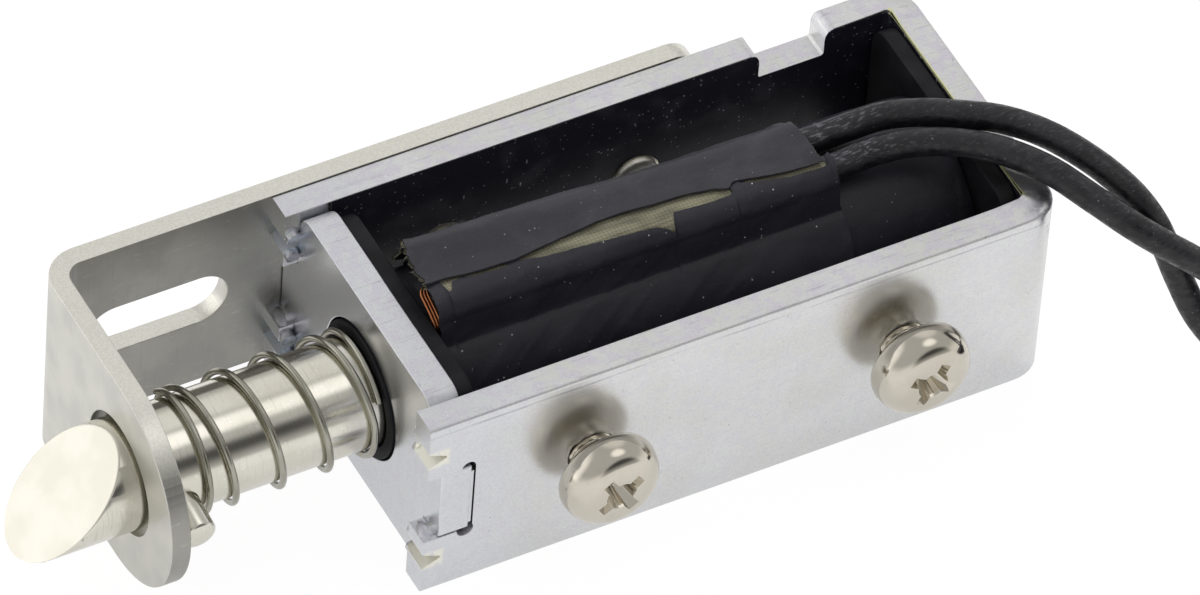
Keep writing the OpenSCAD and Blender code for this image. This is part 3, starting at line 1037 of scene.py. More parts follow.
@dataclass(frozen=True)
class Insulation:
    """Soft black covering of the leads, with dust and painted sheen flecks on its upper side, strongest near
    the cover end.
    """

    name: str

    def build(self) -> Material:
        """Builds the finish.

        Returns:
            The material.
        """
        made = Surface(self.name)
        haze = made.grain(0.5, detail=4, twist=0.5)
        ripple = made.grain(2.4, (0.5, 1.2, 1.2), detail=4)
        dust = made.specks(2.0, 0.1, 0.2) + made.specks(4.0, 0.15, 0.3) * made.span(haze, 0.45, 0.6)
        base = made.mix(made.span(haze, 0.4, 0.7) * 0.8, (0.007, 0.007, 0.010), (0.019, 0.019, 0.023))
        base = made.mix(dust * 0.8, base, (0.26, 0.26, 0.27))
        pebble = made.grain(5.5, (0.6, 1, 1), detail=3)
        along, _, _ = made.axes()
        _, _, up = made.facing()
        # Painted sheen: lighter flecks on the upper side, strongest near the cover end.
        painted_light = made.span(made.grain(4.5, (0.35, 1.6, 1.6), detail=3), 0.54, 0.66) * up.above(0.62, 0.3)
        base = made.mix(painted_light * (along.below(31 * MM, 5 * MM) * 0.4 + 0.12), base, (0.20, 0.20, 0.23))
        rough = 0.24 + haze * 0.16 + made.span(ripple, 0.42, 0.6) * 0.24
        height = ripple * 0.6 + pebble * 0.4
        return made.dress(
            {"Specular IOR Level": 0.5}, colour=base, roughness=rough, normal=made.bump(height, 0.07, 0.9)
        )


@dataclass(frozen=True)
class Plain:
    """A plastic or solder with soft mottling, whose scale is features per millimetre."""

    name: str
    colour: Colour
    second: Colour
    rough: float
    metallic: float = 0.0
    scale: float = 2.0

    def build(self) -> Material:
        """Builds the finish.

        Returns:
            The material.
        """
        made = Surface(self.name)
        patch = made.grain(self.scale * 0.25, detail=4)
        fine = made.grain(self.scale * 4, detail=2)
        dust = made.specks(1.4, 0.14, 0.25)
        base = made.mix(made.span(patch, 0.36, 0.66), self.colour, self.second)
        base = made.mix(dust * (0.6 * (1 - self.metallic)), base, (0.3, 0.3, 0.29))
        rough = patch * 0.16 + fine * 0.08 + (self.rough - 0.12)
        normal = made.bump(patch * 0.4 + fine * 0.6, 0.02, 0.4)
        return made.dress(
            {"Metallic": self.metallic, "Specular IOR Level": 0.22}, colour=base, roughness=rough,
            normal=normal
        )


ZINC = YokeZinc("zinc_yoke", 7.8, 36.4, 1.9)
ZINC_PLATE = YokeZinc("zinc_plate", 7.8, 36.4, 1.9, black=False)
STAINLESS = Metal(
    "stainless", (0.68, 0.67, 0.62), (0.61, 0.60, 0.56), 0.36, Lay.UPRIGHT, 0.1, 0.006, 0.0, 0.56
)
NICKEL_BOLT = Metal(
    "nickel_bolt", (0.77, 0.745, 0.67), (0.71, 0.685, 0.60), 0.17, Lay.ROUND_X, 0.22, 0.004, 0.55
)
NICKEL_SCREW = Metal("nickel_screw", (0.66, 0.62, 0.54), (0.61, 0.57, 0.49), 0.12, Lay.EVEN, 0.1, 0.002)
# A lighter copy of the screw nickel, for the screw ends inside the yoke: a painted highlight.
LIT_SCREW_END = Metal("screw_end", (0.92, 0.90, 0.83), (0.86, 0.84, 0.76), 0.5, Lay.EVEN, 0.1, 0.002)
SPRING_WIRE = Metal("spring_wire", (0.44, 0.43, 0.37), (0.35, 0.34, 0.28), 0.22, Lay.ALONG_X, 0.2, 0.004)
CORE_IRON = Metal("core_iron", (0.48, 0.48, 0.49), (0.42, 0.42, 0.43), 0.35, Lay.ALONG_X, 0.3, 0.005)
SHIM_BRASS = Metal("shim_brass", (0.75, 0.60, 0.30), (0.70, 0.54, 0.26), 0.3, Lay.EVEN, 0.2, 0.003)
COPPER = Metal("copper_wire", (0.56, 0.24, 0.10), (0.34, 0.13, 0.06), 0.3, Lay.EVEN, 0.2, 0.003)
SOLDER = Plain("solder", (0.62, 0.62, 0.61), (0.5, 0.5, 0.5), 0.36, 1.0, 3.0)
NYLON = Plain("black_nylon", (0.006, 0.006, 0.008), (0.014, 0.014, 0.017), 0.6, 0.0, 2.0)
BLACK_TAPE = Tape("black_tape", (0.023, 0.023, 0.031), (0.034, 0.034, 0.044), 0.46)
CHARCOAL_TAPE = Tape("charcoal_tape", (0.029, 0.029, 0.036), (0.047, 0.046, 0.054), 0.55, 0.45)
CLOTH = Cloth("woven_cloth")
INSULATION = Insulation("lead_insulation")
TIE = Plain("tie_plastic", (0.03, 0.03, 0.03), (0.05, 0.05, 0.048), 0.6, 0.0, 3.0)


# ---- studio ----


@dataclass(frozen=True)
class Glow:
    """A soft bright or dark part of the studio's walls.

    Attributes:
        towards: Direction from the object.
        start: Cosine of its outer edge.
        full: Cosine of its inner edge.
        light: What it adds.
    """

    towards: Triple
    start: float
    full: float
    light: float


@dataclass
class Studio:
    """A pale floor, soft light and the camera."""

    azimuth: float = -31.07
    elevation: float = 47.35
    roll: float = 4.644
    distance: float = 777.4
    lens: float = 425.92
    aim: Triple = (18.6, 0, 0)
    across: float = 3.4405
    above: float = 0.7732
    floor_z: float = -6.5
    base_light: float = 0.54
    low_light: float = 0.42
    floor_white: float = 0.9
    floor_shine: float = 0.6
    floor_glow: float = 1.06
    floor_grey: float = 0.86
    floor_half: float = 3.0
    lamp_at: Triple = (0.16, 0.34, 0.42)
    lamp_size: float = 0.22
    lamp_power: float = 1.3
    glows: tuple[Glow, ...] = (
        Glow((0.35, -0.222, 0.91), 0.945, 0.993, 0.78),
        Glow((0.35, 0.5, 0.79), 0.88, 0.97, 0.3),
        Glow((0.35, -0.927, 0.135), 0.80, 0.93, -0.47),
        Glow((-0.757, 0.55, 0.33), 0.70, 0.93, 0.66),
    )

    def set_camera(self) -> None:
        """Makes the camera and puts it in use."""
        azimuth, elevation, roll = (math.radians(a) for a in (self.azimuth, self.elevation, self.roll))
        level = math.cos(elevation)
        back = Vector((math.sin(azimuth) * level, -math.cos(azimuth) * level, math.sin(elevation)))
        right = Vector((math.cos(azimuth), math.sin(azimuth), 0))
        up = back.cross(right)
        turned_right = right * math.cos(roll) + up * math.sin(roll)
        turned_up = up * math.cos(roll) - right * math.sin(roll)
        place = Vector(self.aim) - turned_right * self.across - turned_up * self.above + back * self.distance
        camera = bpy.data.objects.new("camera", bpy.data.cameras.new("camera"))
        camera.data.lens = self.lens
        camera.data.sensor_width = 36.0
        camera.data.clip_start = 0.05
        camera.data.clip_end = 20.0
        turn = Matrix((turned_right, turned_up, back)).transposed().to_4x4()
        camera.matrix_world = Matrix.Translation(place * MM) @ turn
        bpy.context.scene.collection.objects.link(camera)
        bpy.context.scene.camera = camera

    def light_world(self) -> None:
        """Gives the world soft bright and dark parts, and white behind the object."""
        world = bpy.data.worlds.new("studio")
        bpy.context.scene.world = world
        world.use_nodes = True
        tree = NodeTree(world.node_tree)
        tree.tree.nodes.clear()
        way = tree.vector("NORMALIZE", tree.out("ShaderNodeTexCoord", output="Generated"))
        upward = tree.node("ShaderNodeSeparateXYZ", None, {0: way})
        total = Val(tree, upward.outputs[2]).below(0.2, 0.4) * self.low_light + self.base_light
        for glow in self.glows:
            aim = tuple(Vector(glow.towards).normalized())
            cosine = tree.vector("DOT_PRODUCT", way, aim, output=1)
            total = total + tree.span(cosine, glow.start, glow.full) * glow.light
        shine = tree.out(
            "ShaderNodeBackground", None, {"Color": (1.0, 0.995, 0.98, 1.0), "Strength": total.most(0.05)}
        )
        white = tree.out("ShaderNodeBackground", None, {"Color": WHITE, "Strength": 1.0})
        seen = tree.out("ShaderNodeLightPath", output="Is Camera Ray")
        mixed = tree.out("ShaderNodeMixShader", None, {0: seen, 1: shine, 2: white})
        tree.node("ShaderNodeOutputWorld", None, {"Surface": mixed})

    def lay_floor(self) -> None:
        """Makes the floor, which looks white and keeps the object's shadow."""
        made = Surface("floor")
        path = made.node("ShaderNodeLightPath")
        seen = Val(made, path.outputs["Is Camera Ray"]) * self.floor_white
        seen = seen.most(Val(made, path.outputs["Is Glossy Ray"]) * self.floor_shine)
        plain = made.out("ShaderNodeBsdfDiffuse", None, {"Color": (*[self.floor_grey] * 3, 1.0)})
        white = made.out("ShaderNodeEmission", None, {"Color": WHITE, "Strength": self.floor_glow})
        mixed = made.out("ShaderNodeMixShader", None, {0: seen, 1: plain, 2: white})
        made.node("ShaderNodeOutputMaterial", None, {"Surface": mixed})
        half, z = self.floor_half, self.floor_z * MM
        corners = [(-half, -half, z), (half, -half, z), (half, half, z), (-half, half, z)]
        piece_of("floor", corners, [(0, 1, 2, 3)], made.material)

    def add_lamp(self, name: str, place: Triple, size: float, power: float) -> None:
        """Adds a soft square lamp that shines at the object.

        Args:
            name: The lamp's name.
            place: Where it stands, in metres.
            size: Its side in metres.
            power: Its power in watts.
        """
        lamp = bpy.data.objects.new(name, bpy.data.lights.new(name, "AREA"))
        lamp.data.shape = "SQUARE"
        lamp.data.size = size
        lamp.data.energy = power
        lamp.location = place
        lamp.rotation_euler = (Vector(self.aim) * MM - Vector(place)).to_track_quat("-Z", "Y").to_euler()
        lamp.visible_camera = False
        lamp.visible_glossy = False
        bpy.context.scene.collection.objects.link(lamp)

    def build(self) -> None:
        """Sets up the camera, the light and the floor."""
        bpy.context.scene.view_settings.view_transform = "Standard"
        self.set_camera()
        self.light_world()
        self.lay_floor()
        self.add_lamp("key_lamp", self.lamp_at, self.lamp_size, self.lamp_power)


# ---- leads ----


@dataclass(frozen=True)
class LeadRoute:
    """The line of one lead: out of the cover, round the stored coil and back to the floor.

    Attributes:
        start: Points from the cover to the coil.
        tail: Points from the coil to the stripped end.
        level: Height of the coil's turns.
        radius_from: Radius where the lead joins the coil.
        radius_to: Radius where it leaves the coil.
        angle_to: Angle where it leaves the coil, in degrees.
        climb: Degrees over which it climbs out of the coil to the tail's height.
        exit_at: Where it leaves the cover.
    """

    name: str
    start: tuple[Triple, ...]
    tail: tuple[Triple, ...]
    level: float
    radius_from: float
    radius_to: float
    angle_to: float
    climb: float
    exit_at: Triple


ROUTE_A = LeadRoute(
    "a",
    (
        (25.45, 0.8, 6.6), (28.5, 0.8, 6.6), (30.2, 0.6, 6.9), (31.9, 0.3, 7.2), (33.8, -0.6, 7.5),
        (35.6, -1.8, 7.7), (37.5, -3.2, 7.8), (39.3, -5.1, 7.6), (40.9, -7.4, 7), (42.2, -9.3, 5.9),
        (43.2, -10.4, 4.2), (43.9, -10.9, 2.3), (44.6, -11.6, 0), (45.4, -12.7, -2.3), (46.7, -14.1, -4.2),
        (48.4, -15.8, -5.1), (50.2, -17.9, -5.4),
    ),
    (
        (56.5, -23.1, -5.4), (59.3, -23.9, -5.2), (62, -23.3, -4.5), (64, -21.5, -3.4), (64.8, -19.2, -2.4),
        (65.4, -17.1, -2.15), (65.8, -14.1, -2.15), (65.6, -11.2, -2.15), (65, -8.8, -2.5), (64.4, -6.3, -4),
        (63.7, -3.9, -5.4), (62.9, -1.5, -5.7), (62, 0.9, -5.7), (61.1, 3.2, -5.7),
    ),
    -5.4, 9.6, 5.4, 950.0, 0.0, (26.95, 0.8, 6.6),
)
ROUTE_B = LeadRoute(
    "b",
    (
        (25.45, -1.5, 6.6), (28.4, -1.5, 6.6), (30.2, -1.7, 7), (32.2, -2.3, 7.4), (34.1, -3.4, 7.7),
        (36.1, -5, 7.8), (38, -7.3, 7.6), (39.6, -9.6, 6.8), (41.1, -11.2, 5.7), (42.6, -12.2, 4.5),
        (44.5, -13, 2.9), (46.6, -13.8, 0.9), (48.7, -14.9, -1.3), (50.3, -16.4, -3), (51.3, -18.4, -3.8),
    ),
    (
        (58.4, -25, -2.15), (61.6, -25, -2.15), (64.2, -23.7, -2.15), (66.2, -21.5, -2.15),
        (67.7, -18.7, -2.15), (68.6, -15.5, -2.15), (69.1, -12.4, -2.3), (69.2, -9.8, -3.6),
        (69.1, -7.2, -5.1), (68.8, -4.6, -5.7), (68.2, -2, -5.7), (67.4, 0.5, -5.7),
    ),
    -3.8, 9.5, 6.15, 975.0, 50.0, (26.95, -1.5, 6.6),
)


@dataclass
class Leads:
    """The two leads, their stripped ends and the tie round their stored coil."""

    diameter: float = 1.6
    coil_x: float = 60.0
    coil_y: float = -19.0
    joined_at: float = 180.0
    begin: float = 190.0
    turn_step: float = 15.0
    strand_len: float = 6.0
    strand_d: float = 0.8
    strands: int = 7
    strand_turns: float = 1.4
    tie_width: float = 2.0
    tie_corner: float = 0.75
    tie_thick: float = 0.22
    twist_r: float = 0.28
    twist_wire_r: float = 0.26
    twist_turns: float = 1.6
    routes: tuple[LeadRoute, ...] = (ROUTE_A, ROUTE_B)

    def line_of(self, route: LeadRoute) -> list[Vector]:
        """Returns a lead's whole centre line in metres.

        Args:
            route: The lead's route.

        Returns:
            Evenly spaced points.
        """
        turns: list[Triple] = []
        count = int((route.angle_to - self.begin) / self.turn_step)
        for k in range(count):
            angle = self.begin + (route.angle_to - self.begin) * k / count
            share = (angle - self.joined_at) / (route.angle_to - self.joined_at)
            radius = route.radius_from + (route.radius_to - route.radius_from) * share
            rise = 0.0
            if route.climb > 0:
                late = max(0.0, (angle - route.angle_to + route.climb) / route.climb)
                rise = (route.tail[0][2] - route.level) * late * late * (3 - 2 * late)
            x = self.coil_x + radius * math.cos(math.radians(angle))
            y = self.coil_y + radius * math.sin(math.radians(angle))
            turns.append((x, y, route.level + rise))
        knots = [tuple(c * MM for c in p) for p in (*route.start, *turns, *route.tail)]
        return smooth_path(knots, 0.5 * MM)

    def build_lead(self, route: LeadRoute, material: Material) -> tuple[Piece, list[Vector]]:
        """Sweeps one lead.

        Args:
            route: Its route.
            material: Its material.

        Returns:
            The tube and its centre line.
        """
        path = self.line_of(route)
        points, faces = tube(path, self.diameter / 2 * MM, 20)
        lead = soften(piece_of(f"lead_{route.name}", points, faces, material), 50)
        mount(lead, "lead_insulation", f"lead_wire_{route.name}", f"lead_coil_{route.name}")
        return lead, path

    def build_strands(self, material: Material) -> Piece:
        """Makes the twisted and tinned strands past each lead's end.

        Args:
            material: Their material.

        Returns:
            The piece, with both ends in it.
        """
        parts = []
        for route in self.routes:
            last, before = Vector(route.tail[-1]) * MM, Vector(route.tail[-2]) * MM
            way = (last - before).normalized()
            side = way.cross(Vector((0, 0, 1))).normalized()
            up = side.cross(way)
            radius = self.strand_d / 6
            for strand in range(self.strands):
                reach = 0.0 if strand == 0 else self.strand_d / 2 - radius
                path = []
                for k in range(25):
                    share = k / 24
                    angle = math.tau * (strand / (self.strands - 1) + self.strand_turns * share)
                    spread = reach * (1.0 + 0.12 * share * (strand % 3 - 1)) * MM
                    along = way * (share * self.strand_len - 0.3) * MM
                    path.append(last + along + (side * math.cos(angle) + up * math.sin(angle)) * spread)
                points, faces = tube(path, radius * MM, 8)
                parts.append(piece_of("strand", points, faces, material))
        made = soften(joined("tinned_strands", parts), 50)
        mount(made, "solder", "tinned_ends")
        return made

    def build_tie(self, material: Material) -> Piece:
        """Makes the flat tie with its twisted tails.

        Args:
            material: Its material.

        Returns:
            The piece.
        """
        low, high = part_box("lead_tie")
        centre = (low + high) / 2
        half_y, half_z = (high.y - low.y) / 2, (high.z - low.z) / 2
        corner = self.tie_corner * MM
        loop: list[Vector] = []
        for sign_y, sign_z, start in ((1, 1, 0), (-1, 1, 90), (-1, -1, 180), (1, -1, 270)):
            for k in range(9):
                angle = math.radians(start + 90 * k / 8)
                y = sign_y * (half_y - corner) + corner * math.cos(angle)
                loop.append(Vector((0, y, sign_z * (half_z - corner) + corner * math.sin(angle))))
        points: list[Vector] = []
        thickness = self.tie_thick * MM
        sections = (
            (-1.0, 0.0), (-0.9, 0.6), (-0.35, 0.6), (0.0, 1.0), (0.35, 0.6), (0.9, 0.6), (1.0, 0.0),
            (0.9, -0.1), (-0.9, -0.1)
        )
        for point in loop:
            inward = Vector((0, -point.y, -point.z)).normalized()
            for across, rise in sections:
                sideways = Vector((across * self.tie_width / 2 * MM, 0, 0))
                points.append(centre + point + sideways + inward * thickness * (1 - rise))
        count, rows = len(sections), len(loop)
        total = count * rows
        faces = [tuple(corner % total for corner in face) for face in skin(rows + 1, count)[:total]]
        band = outward(piece_of("band", points, faces, material))
        tails = []
        top = Vector((centre.x, centre.y, high.z - 0.2 * MM))
        for turn in (0.0, math.pi):
            path = []
            for k in range(31):
                share = k / 30
                angle = turn + share * math.tau * self.twist_turns
                lean = Vector((share * 5.0, -share * 1.2, 0.15 + 0.5 * math.sin(share * 2.6)))
                spread = (
                    Vector((0, math.cos(angle), math.sin(angle))) * self.twist_r * min(1.0, share * 5 + 0.3)
                )
                path.append(top + (lean + spread) * MM)
            tail_points, tail_faces = tube(path, self.twist_wire_r * MM, 8)
            tails.append(piece_of("twist", tail_points, tail_faces, material))
        made = soften(joined("tie_band", [band, *tails]), 40)
        mount(made, "tie_plastic", "lead_tie")
        return made

    def build(self) -> None:
        insulation = INSULATION.build()
        strands = self.build_strands(SOLDER.build())
        tie = self.build_tie(TIE.build())
        for route in self.routes:
            lead, path = self.build_lead(route, insulation)
            length = sum((b - a).length for a, b in zip(path, path[1:]))
            log.info("lead %s: %.1f mm", route.name, length / MM)
            tuple(c * MM for c in route.exit_at)
            [tuple(p) for p in path]


# ---- yoke and front plate ----


@dataclass
class Yoke:
    """The bent strip with its rolled edges, tab notches, stakes and tapped holes, and the front plate."""

    length: float = 39.0
    horn: float = 0.9
    half_width: float = 9.5
    half_height: float = 6.5
    strip: float = 1.7
    bend: float = 0.4
    roll: float = 0.24
    lower_roll: float = 0.16
    inner_edge: float = 0.07
    notch_x: float = 2.05
    tab_half: float = 2.5
    stake_z: float = 4.05
    stake_w: float = 1.1
    stake_deep: float = 1.1
    side_screws: Pair = SIDE_SCREWS
    bracket_screws: Pair = BRACKET_SCREWS
    hole_r: float = 1.52
    core_hole_r: float = 2.0
    notch_corner_x: float = 1.62
    notch_corner_r: Pair = (0.42, 0.5)
    past_wall: Pair = (7.0, 11.0)
    edge_round: float = 0.07
    edge_notch: tuple[float, float, float] = (30.4, 4.1, 1.9)
    swell: float = 0.3

    def section(self) -> list[Pair]:
        """Works out the strip's section.

        Returns:
            Pairs of distance from the inner face and height.
        """
        top, low, outer = self.half_height, -self.half_height, self.strip

        def corner(n: float, z: float, r: float, start: float, steps: int) -> list[Pair]:
            """Returns the points of a quarter round about (n, z)."""
            angles = [math.radians(start + 90 * k / steps) for k in range(steps + 1)]
            return [(n + r * math.cos(a), z + r * math.sin(a)) for a in angles]

        small, roll, under = self.inner_edge, self.roll, self.lower_roll
        ring = corner(outer - roll, top - roll, roll, 0, 6)
        ring += [(outer * 0.5, top)]
        ring += corner(small, top - small, small, 90, 2)
        ring += [(0, top * k) for k in (0.6, 0.2, -0.2, -0.6)]
        ring += corner(small, low + small, small, 180, 2)
        ring += corner(outer - under, low + under, under, 270, 4)
        ring += [(outer, top * k) for k in (-0.6, -0.2, 0.2, 0.6, 0.85)]
        return ring

    def stations(self) -> list[tuple[float, float, float, float, float]]:
        """Works out the points along the inner face.

        Returns:
            Each point's place, outward direction and how much the strip is bent there.
        """
        wall_in = self.half_width - self.strip
        rear_in = self.length - self.horn - self.strip
        flat = rear_in - self.bend
        found: list[tuple[float, float, float, float, float]] = []
        steps, turns, across = 26, 9, 14
        for k in range(steps):
            x = -self.horn + (flat + self.horn) * k / steps
            found.append((x, -wall_in, 0.0, -1.0, math.exp(-(((flat - x) / 1.1) ** 2)) * 0.6))
        for k in range(turns + 1):
            a = math.radians(-90 + 90 * k / turns)
            bent = 0.6 + 0.4 * math.sin(math.pi * k / turns)
            y = -wall_in + self.bend + self.bend * math.sin(a)
            found.append((flat + self.bend * math.cos(a), y, math.cos(a), math.sin(a), bent))
        half = wall_in - self.bend
        for k in range(1, across):
            y = -half + 2 * half * k / across
            found.append((rear_in, y, 1.0, 0.0, 0.6 * math.exp(-(((half - abs(y)) / 1.0) ** 2))))
        mirrored = [(x, -y, nx, -ny, bent) for x, y, nx, ny, bent in found[: steps + turns + 1]][::-1]
        return found + mirrored

    def strip_body(self, material: Material) -> Piece:
        """Sweeps the strip's section round the yoke.

        Args:
            material: The finish.

        Returns:
            The closed strip, without its holes.
        """
        section = self.section()
        stations = self.stations()
        points = []
        for x, y, nx, ny, bent in stations:
            for n, z in section:
                rise = 0.0
                if z > self.half_height - self.roll - 0.01:
                    share = 1 - n / self.strip
                    side = 1.25 if y < 0 else 0.8
                    rise = (
                        self.swell * side * bent * (0.75 * share**1.3 + 0.1)
                        + 0.17 * bent * ruffle(x, y, n, 1.5, 4.0)
                    )
                if z < self.lower_roll - self.half_height:
                    rise = 0.05 * bent * (n / self.strip)
                out = n + 0.012 * ruffle(x, y, z, 0.25, 2.0)
                points.append(((x + nx * out) * MM, (y + ny * out) * MM, (z + rise) * MM))
        return outward(piece_of("yoke_strip", points, skin(len(stations), len(section)), material))

    def cutters(self) -> list[Piece]:
        """Makes the cutters of every notch and hole.

        Returns:
            Closed solids that pass through the strip.
        """
        near, far = self.past_wall

        def across(a: float, b: float, level: float) -> Triple:
            """Places an outline in the side walls."""
            return (a, level, b)

        def hole(x: float, z: float, radius: float, sides: int, low: float, high: float) -> Piece:
            """Makes a round cutter through the side walls."""
            return prism([(x + u, z + v) for u, v in ring_of(radius, sides)], low, high, across)

        made = [block((-self.horn - 1, -far, -self.tab_half), (self.notch_x, far, self.tab_half))]
        for z, r in zip((self.tab_half, -self.tab_half), self.notch_corner_r):
            made.append(hole(self.notch_corner_x, z, r, 24, -far, far))
        half, tip = self.stake_w / 2 + 0.1, 0.06
        mouth_x, deep_x = -self.horn - 0.2, self.stake_deep - self.horn
        for y, z in product((-1, 1), repeat=2):
            base = z * self.stake_z
            outline = [
                (mouth_x, base - half), (deep_x, base - tip), (deep_x, base + tip), (mouth_x, base + half)
            ]
            made.append(prism(outline, *sorted((y * near, y * far)), across))
        centre, width, depth = self.edge_notch
        left, right, top = centre - width / 2, centre + width / 2, self.half_height
        flare = [(0.62, 0.9), (0.6, 0.02), (0.42, -0.08), (0.18, -0.22), (0.04, -0.5), (0, -0.8)]
        outline = [(left - u, top + v) for u, v in flare]
        outline += [(left, top - depth + 0.1), (left + 0.1, top - depth)]
        outline += [(right - 0.14, top - depth), (right, top - depth + 0.14)]
        outline += [(right + u, top + v) for u, v in flare[::-1]]
        made.append(prism(outline, near, far, across))
        made += [hole(x, 0, self.hole_r, 40, -far, -near) for x in self.side_screws]
        made += [hole(x, 0, self.hole_r, 40, near, far) for x in self.bracket_screws]
        rear = self.length - self.horn
        ring = ring_of(self.core_hole_r, 48)
        made.append(prism(ring, rear - self.strip - 0.9, rear + 1.4, lambda a, b, level: (level, a, b)))
        return made

    def stake_lips(self, material: Material) -> list[Piece]:
        """Makes the spread metal beside each cleft.

        Args:
            material: The finish.

        Returns:
            Small lumps on the plate and on the ledges of the notches.
        """
        lumps = []
        rows, cols = 7, 12
        for y, z, side in product((-1, 1), repeat=3):
            base = z * self.stake_z + side * (self.stake_w / 2 + 0.12)
            points = []
            for i in range(rows):
                share = i / (rows - 1)
                reach = 0.62 * math.sin(math.pi * min(1.0, 0.15 + 0.75 * share)) * (1 - 0.35 * share)
                thick = 0.62 - 0.18 * share
                for k in range(cols):
                    a = math.tau * k / cols
                    grow = 1 + 0.22 * ruffle(i, k, 3 * y + z + side, 0.6, 7.0)
                    x = -0.42 + 0.46 * math.cos(a) * grow
                    h = base + side * 0.05 + thick * 0.62 * math.sin(a) * grow
                    points.append((x * MM, y * (7.9 - reach * share * 1.5) * MM, h * MM))
            lumps.append(outward(piece_of("lip", points, skin(rows, cols), material)))
        for y, z in ((-8.65, -2.5), (-8.5, 2.52), (8.6, -2.5), (8.7, 2.5)):
            for k, (x, deep, high) in enumerate(((-0.42, 0.72, 0.2), (0.02, 0.5, 0.26))):
                swell = ((-1, 0.03), (-0.8, 0.24), (-0.3, 0.42), (0.35, 0.38), (0.85, 0.2), (1, 0.03))

                def place(a: float, b: float, c: float) -> Triple:
                    """Places a burr beside the tab."""
                    return (x * MM + b, y * MM + a + 0.3 * b, z * MM + c * high * 2)

                def rough(a: float, t: float) -> float:
                    """Returns how uneven a burr is."""
                    return 0.12 * ruffle(a + k, 2 * math.cos(t), y + z, 1.7, 9.0)

                points, faces = lathe([(deep * u, r) for u, r in swell], 14, place, rough)
                lumps.append(outward(piece_of("burr", points, faces, material)))
        return lumps

    def joint_lips(self, material: Material) -> list[Piece]:
        """Makes the pressed metal that narrows the slot beside each tab.

        Args:
            material: The finish.

        Returns:
            Two thin blocks.
        """
        lips = []
        for y in (-1, 1):
            low, high = sorted((y * 7.9, y * 9.43))
            lip = block(
                (self.notch_x - 0.3, low, 0.42 - self.tab_half),
                (self.notch_x - 0.075, high, self.tab_half - 0.45)
            )
            lip.data.materials.append(material)
            lips.append(lip)
        return lips

    def build(self) -> None:
        """Builds the yoke and the front plate."""
        zinc = ZINC.build()
        body = self.strip_body(zinc)
        for cutter in self.cutters():
            cut(body, cutter)
        round_edges(body, self.edge_round, 50)
        yoke = joined("yoke_formed", [body, *self.stake_lips(zinc), *self.joint_lips(zinc)])
        mount(even_out(soften(yoke, 38)), "zinc_plate", "yoke")
        copy_of("front_plate", "plate_front", ZINC_PLATE.build(), "zinc_plate", 0.09)


# ---- bolt, pin and spring ----


@dataclass
class Bolt:
    """The turned bolt with its bevel, and the cross pin."""

    radius: float = 3.2
    tip: float = -21.1
    end: float = 16.0
    bevel: float = 43.0
    rim: float = 0.1
    pin_x: float = -12.4
    pin_r: float = 1.05
    pin_len: float = 10.8
    pin_turn: float = 8.0

    def turned(self, material: Material) -> Piece:
        """Turns the bolt and cuts its bevel.

        Args:
            material: The finish.

        Returns:
            The bolt.
        """
        steps, segments = 40, 128
        profile: list[Pair] = [(self.tip - 0.5, self.radius)]
        profile += [
            (self.tip + (self.end - 0.4 - self.tip) * k / steps, self.radius) for k in range(steps + 1)
        ]
        profile += [(self.end - 0.02, self.radius - 0.38), (self.end, self.radius - 0.42)]
        points, faces = lathe(profile, segments, along_x)
        bolt = outward(piece_of("bolt_turned", points, faces, material))
        shape = bmesh.new()
        shape.from_mesh(bolt.data)
        lean = math.radians(self.bevel - 90)
        normal = Vector((math.sin(lean), 0, math.cos(lean)))
        start = Vector((self.tip * MM, 0, -self.radius * MM))
        whole = [*shape.verts, *shape.edges, *shape.faces]
        found = bmesh.ops.bisect_plane(
            shape, geom=whole, plane_co=start, plane_no=normal, clear_outer=True, dist=SAME_PLACE / 10
        )
        rim = [e for e in found["geom_cut"] if isinstance(e, bmesh.types.BMEdge)]
        bmesh.ops.contextual_create(shape, geom=rim)
        bmesh.ops.remove_doubles(shape, verts=shape.verts, dist=SAME_PLACE)
        bmesh.ops.recalc_face_normals(shape, faces=shape.faces)
        face = max(shape.faces, key=lambda f: f.calc_area())
        bmesh.ops.bevel(
            shape, geom=list(face.edges), offset=self.rim * MM, segments=3, affect="EDGES", profile=0.5
        )
        shape.to_mesh(bolt.data)
        shape.free()
        return even_out(soften(bolt, 40))

    def pin(self, material: Material) -> Piece:
        """Turns the cross pin.

        Args:
            material: The finish.

        Returns:
            The pin.
        """
        half, r = self.pin_len / 2, self.pin_r
        turn = math.radians(self.pin_turn)
        way = Vector((0, math.cos(turn), math.sin(turn)))
        up = Vector((0, -math.sin(turn), math.cos(turn)))

        def place(along: float, across: float, rise: float) -> Triple:
            """Places a point of the pin."""
            return tuple(
                Vector((self.pin_x * MM, 0, 0)) + way * along + Vector((1, 0, 0)) * across + up * rise
            )

        edge = 0.22
        profile = [
            (-half, r - edge - 0.02), (-half + 0.03, r - edge + 0.06), (-half + edge * 0.5, r - 0.06),
            (-half + edge, r)
        ]
        profile += [(0.0, r)]
        profile += [(-a, b) for a, b in profile[3::-1]]
        points, faces = lathe(profile, 56, place)
        return soften(outward(piece_of("pin_turned", points, faces, material)), 35)

    def build(self) -> None:
        """Builds the bolt and its pin."""
        nickel = NICKEL_BOLT.build()
        mount(self.turned(nickel), "nickel_bolt", "latch_bolt", body="bolt")
        mount(self.pin(nickel), "nickel_bolt", "cross_pin", body="bolt")


